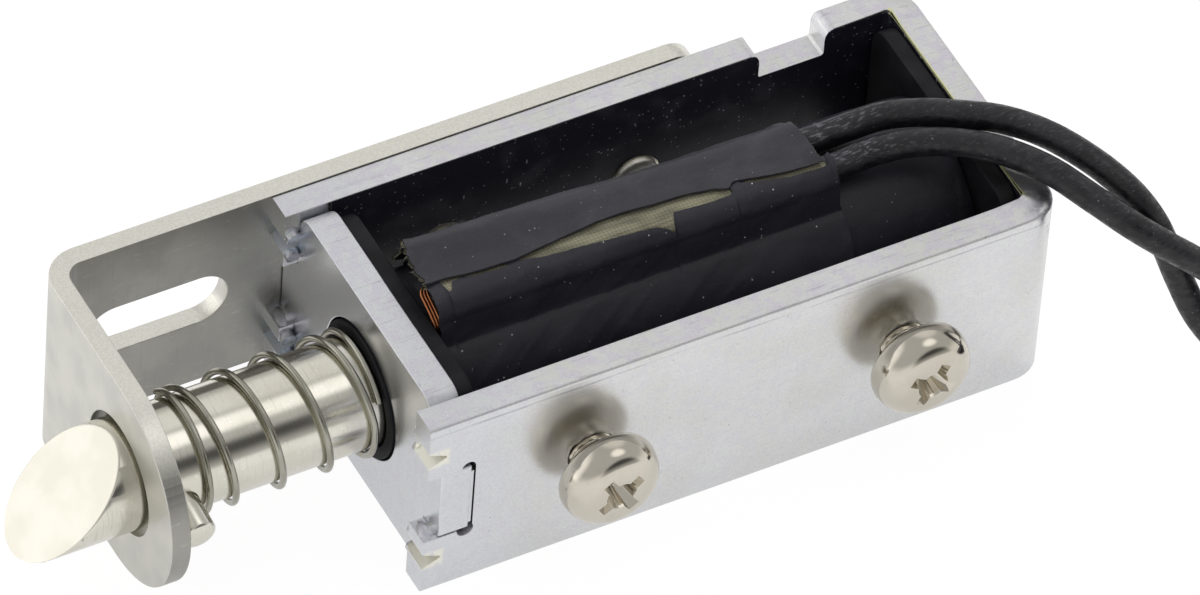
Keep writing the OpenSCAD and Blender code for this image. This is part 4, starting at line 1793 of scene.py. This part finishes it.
@dataclass
class Spring:
    """The return spring: open turns between two closed ends."""

    wire: float = 0.4
    radius: float = 3.505
    front: float = -11.075
    rear: float = -0.425
    closed: float = 0.95
    open_turns: float = 3.4
    closed_pitch: float = 0.504
    start: float = 38.0
    seat: float = -0.15
    keep: float = 0.4626
    steps: int = 330

    def build(self) -> None:
        """Winds the spring by a Geometry Nodes rule."""
        turns = self.open_turns + 2 * self.closed
        open_pitch = (self.rear - self.front - 2 * self.closed * self.closed_pitch) / self.open_turns
        rule = Rule(
            "spring_rule",
            {
                "Turns": turns,
                "Closed turns": self.closed,
                "Open turns": self.open_turns,
                "Closed pitch": self.closed_pitch * MM,
                "Open pitch": open_pitch * MM,
                "Radius": self.radius * MM,
                "Wire radius": self.wire / 2 * MM,
                "Front": self.front * MM,
                "Steps": self.steps,
            },
        )
        size = rule.size_of
        line = rule.out("GeometryNodeCurvePrimitiveLine", None, {"End": (1.0, 0.0, 0.0)})
        count = size("Steps")
        fine = rule.out("GeometryNodeResampleCurve", None, {"Curve": line, "Count": count})
        index = rule.out("GeometryNodeInputIndex")
        turn = index / (count - 1.0) * size("Turns")
        closed, wide = size("Closed turns"), size("Open turns")
        x = size("Front") + size("Closed pitch") * (turn.least(closed) + (turn - closed - wide).most(0.0))
        x = x + size("Open pitch") * (turn - closed).most(0.0).least(wide)
        angle = turn * math.tau + math.radians(self.start)
        place = rule.join(
            x, size("Radius") * rule.math("COSINE", angle), size("Radius") * rule.math("SINE", angle)
        )
        wound = rule.out("GeometryNodeSetPosition", None, {"Geometry": fine, "Position": place})
        ring = rule.out(
            "GeometryNodeCurvePrimitiveCircle", None, {"Resolution": 14, "Radius": size("Wire radius")}
        )
        wire = rule.out(
            "GeometryNodeCurveToMesh", None, {"Curve": wound, "Profile Curve": ring, "Fill Caps": True}
        )
        spring = rule.bake("spring_wound", wire, SPRING_WIRE.build())
        soften(outward(spring), 50)
        mount(spring, "spring_wire", "return_spring", body="spring")
        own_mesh(spring)


# ---- bracket and screws ----


@dataclass
class Bracket:
    """The slotted bracket and its two countersunk screws."""

    edge: float = 0.11
    screw_edge: float = 0.05
    screws: Pair = BRACKET_SCREWS
    end_r: Pair = (1.1, 1.34)
    end_y: Pair = (7.45, 7.85)

    def build(self) -> None:
        """Builds the bracket and its screws, whose domed ends show inside the yoke."""
        copy_of("mounting_bracket", "bracket_bent", STAINLESS.build(), "stainless", self.edge, 40)
        nickel = NICKEL_SCREW.build()
        copy_of("bracket_screws", "screws_countersunk", nickel, "nickel_screw", self.screw_edge, 30)
        # The screw ends get the lighter nickel, a painted highlight.
        lit_end = LIT_SCREW_END.build()
        crown, wall = self.end_y
        for x, r in zip(self.screws, self.end_r):
            profile = [
                (wall, r), (7.66, r - 0.01), (7.54, r - 0.12), (7.47, r - 0.4), (crown, 0.5), (crown, 0.0)
            ]

            def place(along: float, across: float, up: float) -> Triple:
                """Places a point of the screw's end."""
                return (x * MM + across, along, up)

            points, faces = lathe(profile, 40, place, ends=(True, False))
            dome = soften(outward(piece_of(f"screw_end_{x:.0f}", points, faces, lit_end)), 40)
            mount(dome, "nickel_screw")


@dataclass
class PanScrews:
    """The two pan head screws in the side wall, backed out by a turn or two."""

    first: float = SIDE_SCREWS[0]
    pitch: float = SIDE_SCREWS[1] - SIDE_SCREWS[0]
    wall: float = -9.5
    gap: float = 1.2
    head_h: float = 2.2
    head_r: float = 2.9
    shank: float = 4.0
    thread_r: float = 1.47
    thread_pitch: float = 0.5
    thread_deep: float = 0.26
    arm: float = 0.62
    reach: float = 1.55
    arm_deep: float = 1.35
    edge_round: float = 0.035
    sides: int = 96
    turned: Pair = (0.16, -0.42)

    def head(self, material: Material) -> Piece:
        """Turns the head and cuts its cross recess. The crown is at 0 and the shank runs along +Y.

        Args:
            material: The finish.

        Returns:
            The head.
        """
        h, r = self.head_h, self.head_r
        profile: list[Pair] = [
            (0.0, 0.0), (0.0, 0.4), (0.01, 0.9), (0.03, 1.3), (0.07, 1.65), (0.14, 1.95), (0.25, 2.2),
            (0.41, 2.42), (0.61, 2.6), (0.85, 2.73), (1.12, 2.82), (1.4, r - 0.03), (1.65, r),
            (h - 0.35, r - 0.02), (h - 0.14, r - 0.1), (h - 0.03, r - 0.25), (h, r - 0.45), (h, 1.3),
        ]

        def place(along: float, across: float, rise: float) -> Triple:
            """Places a point of the head."""
            return (across, along, rise)

        points, faces = lathe(profile, self.sides, place, ends=(False, True))
        head = outward(piece_of("head", points, faces, material))
        for turn in (45.0, 135.0):
            a = math.radians(turn)
            way, side = Vector((math.cos(a), 0, math.sin(a))), Vector((-math.sin(a), 0, math.cos(a)))
            corners = []
            mouth = (-0.3, self.reach + 0.14, self.arm / 2 + 0.07)
            floor = (self.arm_deep, 0.62, self.arm / 2 - 0.1)
            for level, half_len, half_width in (mouth, floor):
                for u, v in ((-1, -1), (1, -1), (1, 1), (-1, 1)):
                    corners.append((way * u * half_len + side * v * half_width + Vector((0, level, 0))) * MM)
            sides = [(0, 1, 5, 4), (1, 2, 6, 5), (2, 3, 7, 6), (3, 0, 4, 7), (3, 2, 1, 0), (4, 5, 6, 7)]
            cut(head, outward(piece_of("arm", corners, sides)))
        cone, cone_faces = lathe([(-0.3, 1.02), (0.25, 0.82), (1.3, 0.55), (1.75, 0.05)], 32, place)
        return cut(head, outward(piece_of("cone", cone, cone_faces)))

    def thread(self, material: Material) -> Piece:
        """Cuts the thread as one helical surface.

        Args:
            material: The finish.

        Returns:
            The shank, from the head to its end.
        """
        start, end = self.head_h - 0.3, self.head_h + self.shank
        rows, segments = 96, 36
        points = []
        for i in range(rows + 1):
            along = start + (end - start) * i / rows
            for k in range(segments):
                angle = math.tau * k / segments
                phase = (along / self.thread_pitch - k / segments) % 1.0
                tooth = abs(phase * 2 - 1)
                r = self.thread_r - self.thread_deep * (1 - min(1.0, max(0.0, tooth * 1.35 - 0.15)))
                r -= max(0.0, (i - rows + 6) / 6) * 0.25
                points.append((r * math.cos(angle) * MM, along * MM, r * math.sin(angle) * MM))
        return outward(piece_of("thread", points, skin(rows + 1, segments), material))

    def build(self) -> None:
        """Makes one screw and lets a Geometry Nodes rule set both in place."""
        finish = NICKEL_SCREW.build()
        head = round_edges(self.head(finish), self.edge_round, 35)
        master = soften(joined("screw_master", [head, self.thread(finish)]), 34)
        crown = self.wall - self.gap - self.head_h
        sizes = {"First": self.first * MM, "Pitch": self.pitch * MM, "Crown": crown * MM, "Count": 2}
        rule = Rule("screw_row", sizes)
        size = rule.size_of
        start, step = rule.join(size("First"), size("Crown"), 0.0), rule.join(size("Pitch"), 0.0, 0.0)
        line = {"Count": size("Count"), "Start Location": start, "Offset": step}
        row = rule.out("GeometryNodeMeshLine", None, line)
        given = rule.out("GeometryNodeObjectInfo", None, {"Object": master}, output="Geometry")
        turned = rule.join(0.0, rule.out("GeometryNodeInputIndex") * self.turned[1] + self.turned[0], 0.0)
        placed = rule.out(
            "GeometryNodeInstanceOnPoints", None, {"Points": row, "Instance": given, "Rotation": turned}
        )
        screws = rule.bake("screws_pan", placed, finish)
        bpy.data.objects.remove(master)
        mount(screws, "nickel_screw", "side_screws")


# ---- coil ----


def between(x: float, knots: Sequence[Pair]) -> float:
    """Returns the value at x between knots of place and value."""
    return float(np.interp(x, [k[0] for k in knots], [k[1] for k in knots]))


@dataclass
class Bundle:
    """The shape that the tapes take over the lead joints and round the coil, seen along X."""

    back: tuple[float, float, float] = (1.8, 6.3, 1.4)
    front: tuple[float, float, float] = (-1.5, 6.5, 1.08)
    valley: Pair = (0.15, 7.52)
    coil_r: float = 5.74
    foot: float = 47.0
    end: float = 188.0
    step: float = 0.08
    table: np.ndarray = field(init=False)
    lengths: np.ndarray = field(init=False)

    def __post_init__(self) -> None:
        """Works out the outline as an even table."""

        def arc(y: float, z: float, r: float, degrees: Sequence[float]) -> list[Triple]:
            """Returns points of a round about (y, z)."""
            return [
                (0, y + r * math.cos(math.radians(a)), z + r * math.sin(math.radians(a))) for a in degrees
            ]

        knots = arc(0, 0, self.coil_r, [self.foot])
        knots += arc(*self.back, range(-18, 95, 14))
        knots.append((0, *self.valley))
        knots += arc(*self.front, range(86, 192, 13))
        knots += arc(0, 0, self.coil_r, np.linspace(121, self.end, 14))
        path = smooth_path(knots, self.step)
        self.table = np.array([(p.y, p.z) for p in path])
        self.lengths = np.concatenate([[0.0], np.cumsum(np.hypot(*np.diff(self.table, axis=0).T))])

    def on_line(self, s: float) -> Pair:
        """Returns the outline's y and z at a length along it."""
        return tuple(float(np.interp(s, self.lengths, self.table[:, k])) for k in (0, 1))

    def at(self, s: float, lift: float) -> Pair:
        """Returns the place at a length along the outline, lifted off it.

        Args:
            s: Length from the back foot.
            lift: Distance outwards.

        Returns:
            Its y and z.
        """
        reach = 0.1
        y, z = self.on_line(s)
        (y2, z2), (y1, z1) = self.on_line(s + reach), self.on_line(s - reach)
        way = Vector((y2 - y1, z2 - z1)).normalized()
        return y + way.y * lift, z - way.x * lift

    def length_at(self, y: float) -> float:
        """Finds where the outline's front half passes a given y.

        Args:
            y: The place across, in millimetres.

        Returns:
            The length along the outline.
        """
        begin = int(np.argmax(self.table[:, 0]))
        front = self.table[begin:, 0]
        stop = int(np.argmin(front[: int(len(front) * 0.55)])) if y > -2.5 else len(front) - 1
        part = front[: stop + 1]
        return float(np.interp(-y, -part, self.lengths[begin : begin + stop + 1]))


@dataclass
class Coil:
    """The bobbin, its winding, the layers of tape and cloth, and the joints under the cover."""

    bundle: Bundle = field(default_factory=Bundle)
    cover_x: Pair = (3.08, 26.95)
    cloth_x: Pair = (3.25, 27.1)
    hold_x: Pair = (3.12, 27.6)
    edge_round: float = 0.1
    wrap_thick: float = 0.11
    lap_pitch: float = 7.5
    shade_plug_x: Pair = (4.3, 4.7)
    near_y: float = -2.45
    cover_lift: Pair = (0.2, 0.14)
    tail_r: float = 0.15
    turn_r: float = 0.1
    cover_edge: tuple[Pair, ...] = (
        (3.0, -1.05), (4.26, -0.95), (6.26, -1.21), (8.36, -1.3), (9.26, -1.18), (10.26, -1.05),
        (11.46, -0.92), (13.56, -0.68), (15.46, -0.64), (17.46, -0.82), (19.26, -0.94), (20.66, -1.18),
        (21.26, -1.5), (21.51, -1.42), (21.76, -1.2), (22.06, -1.18), (23.26, -1.48), (24.46, -1.64),
        (26.95, -1.8),
    )
    low_back: tuple[Pair, ...] = (
        (3.0, 0.27), (10.7, 0.42), (14.4, 0.6), (17.0, 0.86), (19.3, 0.95), (25.4, 1.1), (27.6, 1.1)
    )
    hold_edge: tuple[Pair, ...] = (
        (3, -0.9), (3.96, -0.9), (4.03, -1.75), (4.26, -1.72), (4.61, -1.2), (5.26, -1.14), (5.76, -1.32),
        (7.46, -1.48), (7.86, -1.36), (8.26, -1.25), (8.76, -1.38), (9.66, -1.6), (10.86, -1.7),
        (13.16, -1.86), (15.56, -2), (16.66, -2.08), (17.16, -2.26), (17.56, -2.47), (17.66, -2.4),
        (17.72, -1.9), (17.81, -1.68), (18.76, -1.74), (20.26, -1.82), (21.16, -1.82), (21.46, -1.64),
        (21.66, -1.1), (22.01, -1.1), (22.36, -1.5), (23.16, -1.68), (24.86, -1.92), (26.95, -2),
        (27.6, -1.7),
    )

    def wrinkle(self, x: float, s: float, strength: float) -> float:
        """Returns the height of the folds that all layers share.

        Args:
            x: Place along the bolt's axis.
            s: Length along the outline.
            strength: How creased the layer is.

        Returns:
            The height in millimetres.
        """
        soft = 0.05 * ruffle(x, s, 0, 0.35, 1.0) + 0.02 * ruffle(x, s, 0, 1.1, 5.0)
        slant = x * 0.7 + s * 1.0
        soft -= between(x, self.low_back) * math.exp(-(((s - 3.4) / 1.6) ** 2))
        crease = (1 - min(1.0, abs(ruffle(slant, s * 0.2, 0, 0.55, 9.0)) * 4)) ** 2 * 0.035 * strength
        return soft + crease

    @staticmethod
    def slant(s: float) -> float:
        """Returns how far the layers' front ends lie behind the foremost point."""
        share = min(1.0, max(0.0, (5.6 - s) / 3.2))
        return 0.85 * share * share * (3 - 2 * share)

    def sheet(
        self,
        name: str,
        material: Material,
        x_span: Pair,
        s_from: Callable[[float], float],
        s_to: Callable[[float], float],
        lift: float,
        thickness: float,
        extra: Wave | None = None,
        *,
        ragged: Pair,
        columns: int,
        rows: int,
        creased: float = 1.0,
    ) -> Piece:
        """Lays a thin sheet on the bundle.

        Args:
            name: The sheet's name.
            material: Its material.
            x_span: Where it starts and ends along X.
            s_from: Its back edge at each x.
            s_to: Its front edge at each x.
            lift: Height of its lower face.
            thickness: Its thickness.
            extra: Adds to the height at (x, s).
            ragged: How uneven its left and right ends are.
            columns: Steps along X.
            rows: Steps along the outline.
            creased: How strongly it is creased.

        Returns:
            A closed sheet.
        """
        faces: Faces = []
        top: list[Triple] = []
        low: list[Triple] = []
        for i in range(columns + 1):
            u = i / columns
            for k in range(rows + 1):
                middle = x_span[0] + (x_span[1] - x_span[0]) * u
                s = s_from(middle) + (s_to(middle) - s_from(middle)) * k / rows
                left = (
                    x_span[0] + self.slant(s)
                    + ragged[0] * (ruffle(0, s, 0, 2.2, 3.0) + 0.5 * ruffle(0, s, 0, 7.0, 6.0))
                )
                right = x_span[1] + ragged[1] * ruffle(0, s, 1, 1.6, 8.0)
                x = left + (right - left) * u
                height = lift + self.wrinkle(x, s, creased) + (extra(x, s) if extra else 0.0)
                for level, row in ((height + thickness, top), (height, low)):
                    y, z = self.bundle.at(s, level)
                    row.append((x * MM, y * MM, z * MM))
        width, total = rows + 1, len(top)
        for i in range(columns):
            for k in range(rows):
                a, b, c, d = i * width + k, i * width + k + 1, (i + 1) * width + k + 1, (i + 1) * width + k
                faces.append((a, b, c, d))
                faces.append((total + d, total + c, total + b, total + a))
        border = [i * width for i in range(columns)] + [columns * width + k for k in range(rows)]
        border += [i * width + rows for i in range(columns, 0, -1)] + [k for k in range(rows, 0, -1)]
        for a, b in zip(border, border[1:] + border[:1]):
            faces.append((a, b, total + b, total + a))
        return soften(outward(piece_of(name, top + low, faces, material)), 60)

    def hairs(
        self, name: str, material: Material, roots: Sequence[tuple[Vector, Vector]], length: float,
        radius: float
    ) -> Piece:
        """Makes short frayed threads.

        Args:
            name: The piece's name.
            material: Its material.
            roots: Places and directions, in millimetres.
            length: Their length in millimetres.
            radius: Their radius in millimetres.

        Returns:
            The piece.
        """
        parts = []
        for number, (root, way) in enumerate(roots):
            bend = Vector([ruffle(number, k, 0, 0.73, 2.0 + k) for k in range(3)])
            path = [
                (root + way * length * t + bend * length * 0.7 * t * t) * MM for t in (0.0, 0.35, 0.7, 1.0)
            ]
            points, faces = tube(path, lambda share, _: radius * (1 - 0.5 * share) * MM, 5)
            parts.append(piece_of("hair", points, faces, material))
        return soften(joined(name, parts), 60)

    def build_wrap(self, tape: Material) -> Piece:
        """Wraps the coil in tape and closes the front end of the bundle with a black plug that stands in for
        the shade in its hollow.

        Args:
            tape: The finish.

        Returns:
            The wrap.
        """
        segments = 150
        knots = (
            (3.0, 5.32), (3.7, 5.36), (4.2, 5.5), (31.5, 5.52), (33.4, 5.5), (34.4, 5.46), (35.0, 5.4),
            (35.27, 5.34)
        )
        xs = [*np.linspace(3.0, 5.0, 18), *np.linspace(5.4, 31, 70), *np.linspace(31.4, 35.26, 24)]
        shape = bmesh.new()
        grid = []
        for i, x in enumerate(xs):
            ring = []
            for k in range(segments):
                angle = math.tau * k / segments
                y, z = math.cos(angle), math.sin(angle)
                r = between(x, knots) + 0.06 * ruffle(x * 0.6, 4 * y, 4 * z, 0.6, 3.0)
                r += 0.025 * ruffle(x, 5 * y, 5 * z, 1.6, 8.0)
                r += 0.05 * (1 - (x / self.lap_pitch + k / segments) % 1.0)
                shift = 0.12 * ruffle(0, 5 * y, 5 * z, 1.5, 5.0) if i < 2 else 0.0
                ring.append(shape.verts.new(((x + shift) * MM, r * y * MM, r * z * MM)))
            grid.append(ring)
        for ring, after in zip(grid, grid[1:]):
            for k in range(segments):
                beside = (k + 1) % segments
                shape.faces.new((ring[k], after[k], after[beside], ring[beside]))
        wrap_piece = piece_from("wrap", shape, tape)
        thick = wrap_piece.modifiers.new("thick", "SOLIDIFY")
        thick.thickness = self.wrap_thick * MM
        thick.offset = -1.0
        settle(wrap_piece)
        # A black tape plug across the bundle's front hollow, a dark piece that stands in for the shade there.
        outline = [
            self.bundle.at(s, self.wrinkle(4.5, s, 0) - 0.03)
            for s in np.linspace(0.2, self.bundle.length_at(self.near_y) + 1.2, 60)
        ]
        shade_plug = prism(outline, *self.shade_plug_x, lambda a, b, level: (level, a, b))
        shade_plug.data.materials.append(tape)
        return soften(joined("coil_wrap", [outward(wrap_piece), shade_plug]), 55)

    def build_tapes(self) -> dict[str, Piece]:
        """Lays the cloth, the holding tape and the cover.

        Returns:
            The pieces by the node that each replaces.
        """
        shape = self.bundle
        cloth = CLOTH.build()
        black, charcoal = BLACK_TAPE.build(), CHARCOAL_TAPE.build()
        under_cover = shape.length_at(0.4)
        hold_front = float(shape.lengths[-1]) - 0.1
        low_front = shape.length_at(self.near_y) + 1.2

        def cover_front(x: float) -> float:
            """Returns the cover's front edge."""
            return shape.length_at(between(x, self.cover_edge) + 0.02 * ruffle(x, 0, 0, 2.5, 4.0))

        def hold_back(x: float) -> float:
            """Returns the holding tape's back edge, which runs under the cover where no cloth shows."""
            y, cover = between(x, self.hold_edge), between(x, self.cover_edge)
            return shape.length_at(y + (0.02 * ruffle(x, 0, 0, 3.1, 6.0) if cover - y > 0.06 else 0.35))

        def knob(x: float, s: float) -> float:
            """Works out how far the cover stands off.

            Args:
                x: Place along the bolt's axis.
                s: Length along the outline.

            Returns:
                The curled front rim, the lump at the rear corner and the lap over the leads, added up.
            """
            curl = 0.16 * math.exp(-max(0.0, x - 3.1 - self.slant(s)) / 0.45)
            bump = 0.2 * math.exp(-(((x - 26.35) / 0.42) ** 2) - ((s - 3.1) / 0.5) ** 2)
            lap = 0.1 * math.exp(-(((x - 26.9) / 0.5) ** 2))
            return curl + bump + lap

        def step(x: float, _: float) -> float:
            """Returns the step where the holding tape's second layer starts, and its rear rim."""
            return (
                0.07 * (1 / (1 + math.exp(-(x - 21.8) * 9))) + 0.05 * math.exp(-(((x - 27.45) / 0.25) ** 2))
            )

        pieces = {
            "cloth_strip": self.sheet(
                "cloth_sheet", cloth, self.cloth_x, lambda x: under_cover, lambda x: low_front, 0.0, 0.07,
                ragged=(0.2, 0.1), columns=120, rows=40, creased=0.3
            ),
            "hold_tape": self.sheet(
                "tape_hold", black, self.hold_x, hold_back, lambda x: hold_front, 0.09, 0.09, step,
                ragged=(0.08, 0.12), columns=230, rows=60
            ),
            "splice_cover": self.sheet(
                "cover_fold", charcoal, self.cover_x, lambda x: 0.0, cover_front, *self.cover_lift, knob,
                ragged=(0.22, 0.1), columns=190, rows=46, creased=0.35
            ),
        }
        roots = []
        for k in range(74):
            s = 0.3 + k * 0.1
            y, z = shape.at(s, 0.3 + self.wrinkle(3.2, s, 0))
            root = Vector((3.11 + self.slant(s) + 0.22 * ruffle(0, s, 0, 2.2, 3.0), y, z))
            roots.append((root, Vector((-0.9, 0.3 * math.sin(k * 2.4), 0.3 + 0.3 * math.cos(k * 1.7)))))
        fray = self.hairs("fray_front", cloth, roots, 0.22, 0.025)
        pieces["cloth_strip"] = joined("cloth_under", [pieces["cloth_strip"], fray])
        return pieces

    def build_joints(self, copper: Material, solder: Material) -> dict[str, Piece]:
        """Makes the two soldered joints and the wires that run to them.

        Args:
            copper: The wires' finish.
            solder: The joints' finish.

        Returns:
            The pieces by the node that each replaces.
        """
        tails, joints = [], []

        def wire(name: str, knots: Sequence[Triple], radius: float) -> Piece:
            """Bends one copper wire through points in millimetres."""
            path = smooth_path([tuple(c * MM for c in knot) for knot in knots], 0.12 * MM)
            return piece_of(name, *tube(path, radius * MM, 12), copper)

        for x in (3.06, 3.24, 3.42):
            knots = [(x, -2.5, 5.3), (x, -2.3, 5.95), (x + 0.02, -1.8, 6.25), (x + 0.05, -1.05, 6.46)]
            knots += [(x + 0.12, -0.4, 6.62), (x + 0.6, -0.1, 6.65), (5.4, -0.05, JOINT_Z)]
            tails.append(wire("turn", knots, self.turn_r))
        for y in (0.8, -1.5):
            knots = [(5.0, y * 0.6, 6.5), (5.95, y, JOINT_Z), (11, y + 0.05, JOINT_Z), (18.45, y, JOINT_Z)]
            tails.append(wire("tail", knots, self.tail_r))
            profile = [
                (18.45, 0.16), (18.7, 0.42), (19.3, 0.58), (22, 0.6), (24.6, 0.57), (25.2, 0.5), (25.44, 0.42)
            ]
            rows = []
            for a, r in zip(profile, profile[1:]):
                rows += [(a[0] + (r[0] - a[0]) * t / 4, a[1] + (r[1] - a[1]) * t / 4) for t in range(4)]
            rows.append(profile[-1])

            def place(a: float, b: float, c: float) -> Triple:
                """Places a point of the joint."""
                return (a, b + y * MM, c + JOINT_Z * MM)

            def lumpy(along: float, angle: float) -> float:
                """Returns how uneven the solder is."""
                return 0.03 * ruffle(along, 3 * math.cos(angle), y, 1.2, 2.0)

            points, faces = lathe(rows, 28, place, lumpy)
            joints.append(outward(piece_of("joint", points, faces, solder)))
        return {
            "winding_tails": soften(joined("wire_tails", tails), 50),
            "lead_joints": soften(joined("soldered_joints", joints), 50),
        }

    def build(self) -> None:
        """Builds everything between the front plate and the rear wall."""
        copper, black = COPPER.build(), BLACK_TAPE.build()
        copy_of("bobbin", "bobbin_moulded", NYLON.build(), "black_nylon", self.edge_round)
        slots = {
            "coil_tape": "black_tape", "cloth_strip": "woven_cloth", "hold_tape": "black_tape",
            "splice_cover": "charcoal_tape", "winding_tails": "copper_wire", "lead_joints": "solder",
        }
        copy_of("winding", "winding_turns", copper, "copper_wire", self.edge_round)
        pieces = {"coil_tape": self.build_wrap(black)}
        pieces |= self.build_tapes()
        pieces |= self.build_joints(copper, SOLDER.build())
        for node, made in pieces.items():
            mount(made, slots[node], node)


@dataclass
class Core:
    """The fixed core, riveted into the rear wall, and its brass shim."""

    core_edge: float = 0.1
    shim_edge: float = 0.03

    def build(self) -> None:
        """Builds the core and the shim."""
        copy_of("fixed_core", "core_riveted", CORE_IRON.build(), "core_iron", self.core_edge)
        copy_of("core_shim", "shim_disc", SHIM_BRASS.build(), "shim_brass", self.shim_edge)


def main() -> None:
    """Builds the whole object."""
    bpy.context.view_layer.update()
    Studio().build()
    for part in (Leads(), Yoke(), Bolt(), Spring(), Bracket(), PanScrews(), Coil(), Core()):
        before = set(bpy.data.objects)
        part.build()
        for made in sorted(set(bpy.data.objects) - before, key=lambda o: o.name):
            log.info("%s: %s, %d faces", type(part).__name__, made.name, len(made.data.polygons))


if __name__ == "__main__":
    logging.basicConfig(level=logging.INFO, format="%(name)s: %(message)s")
    main()
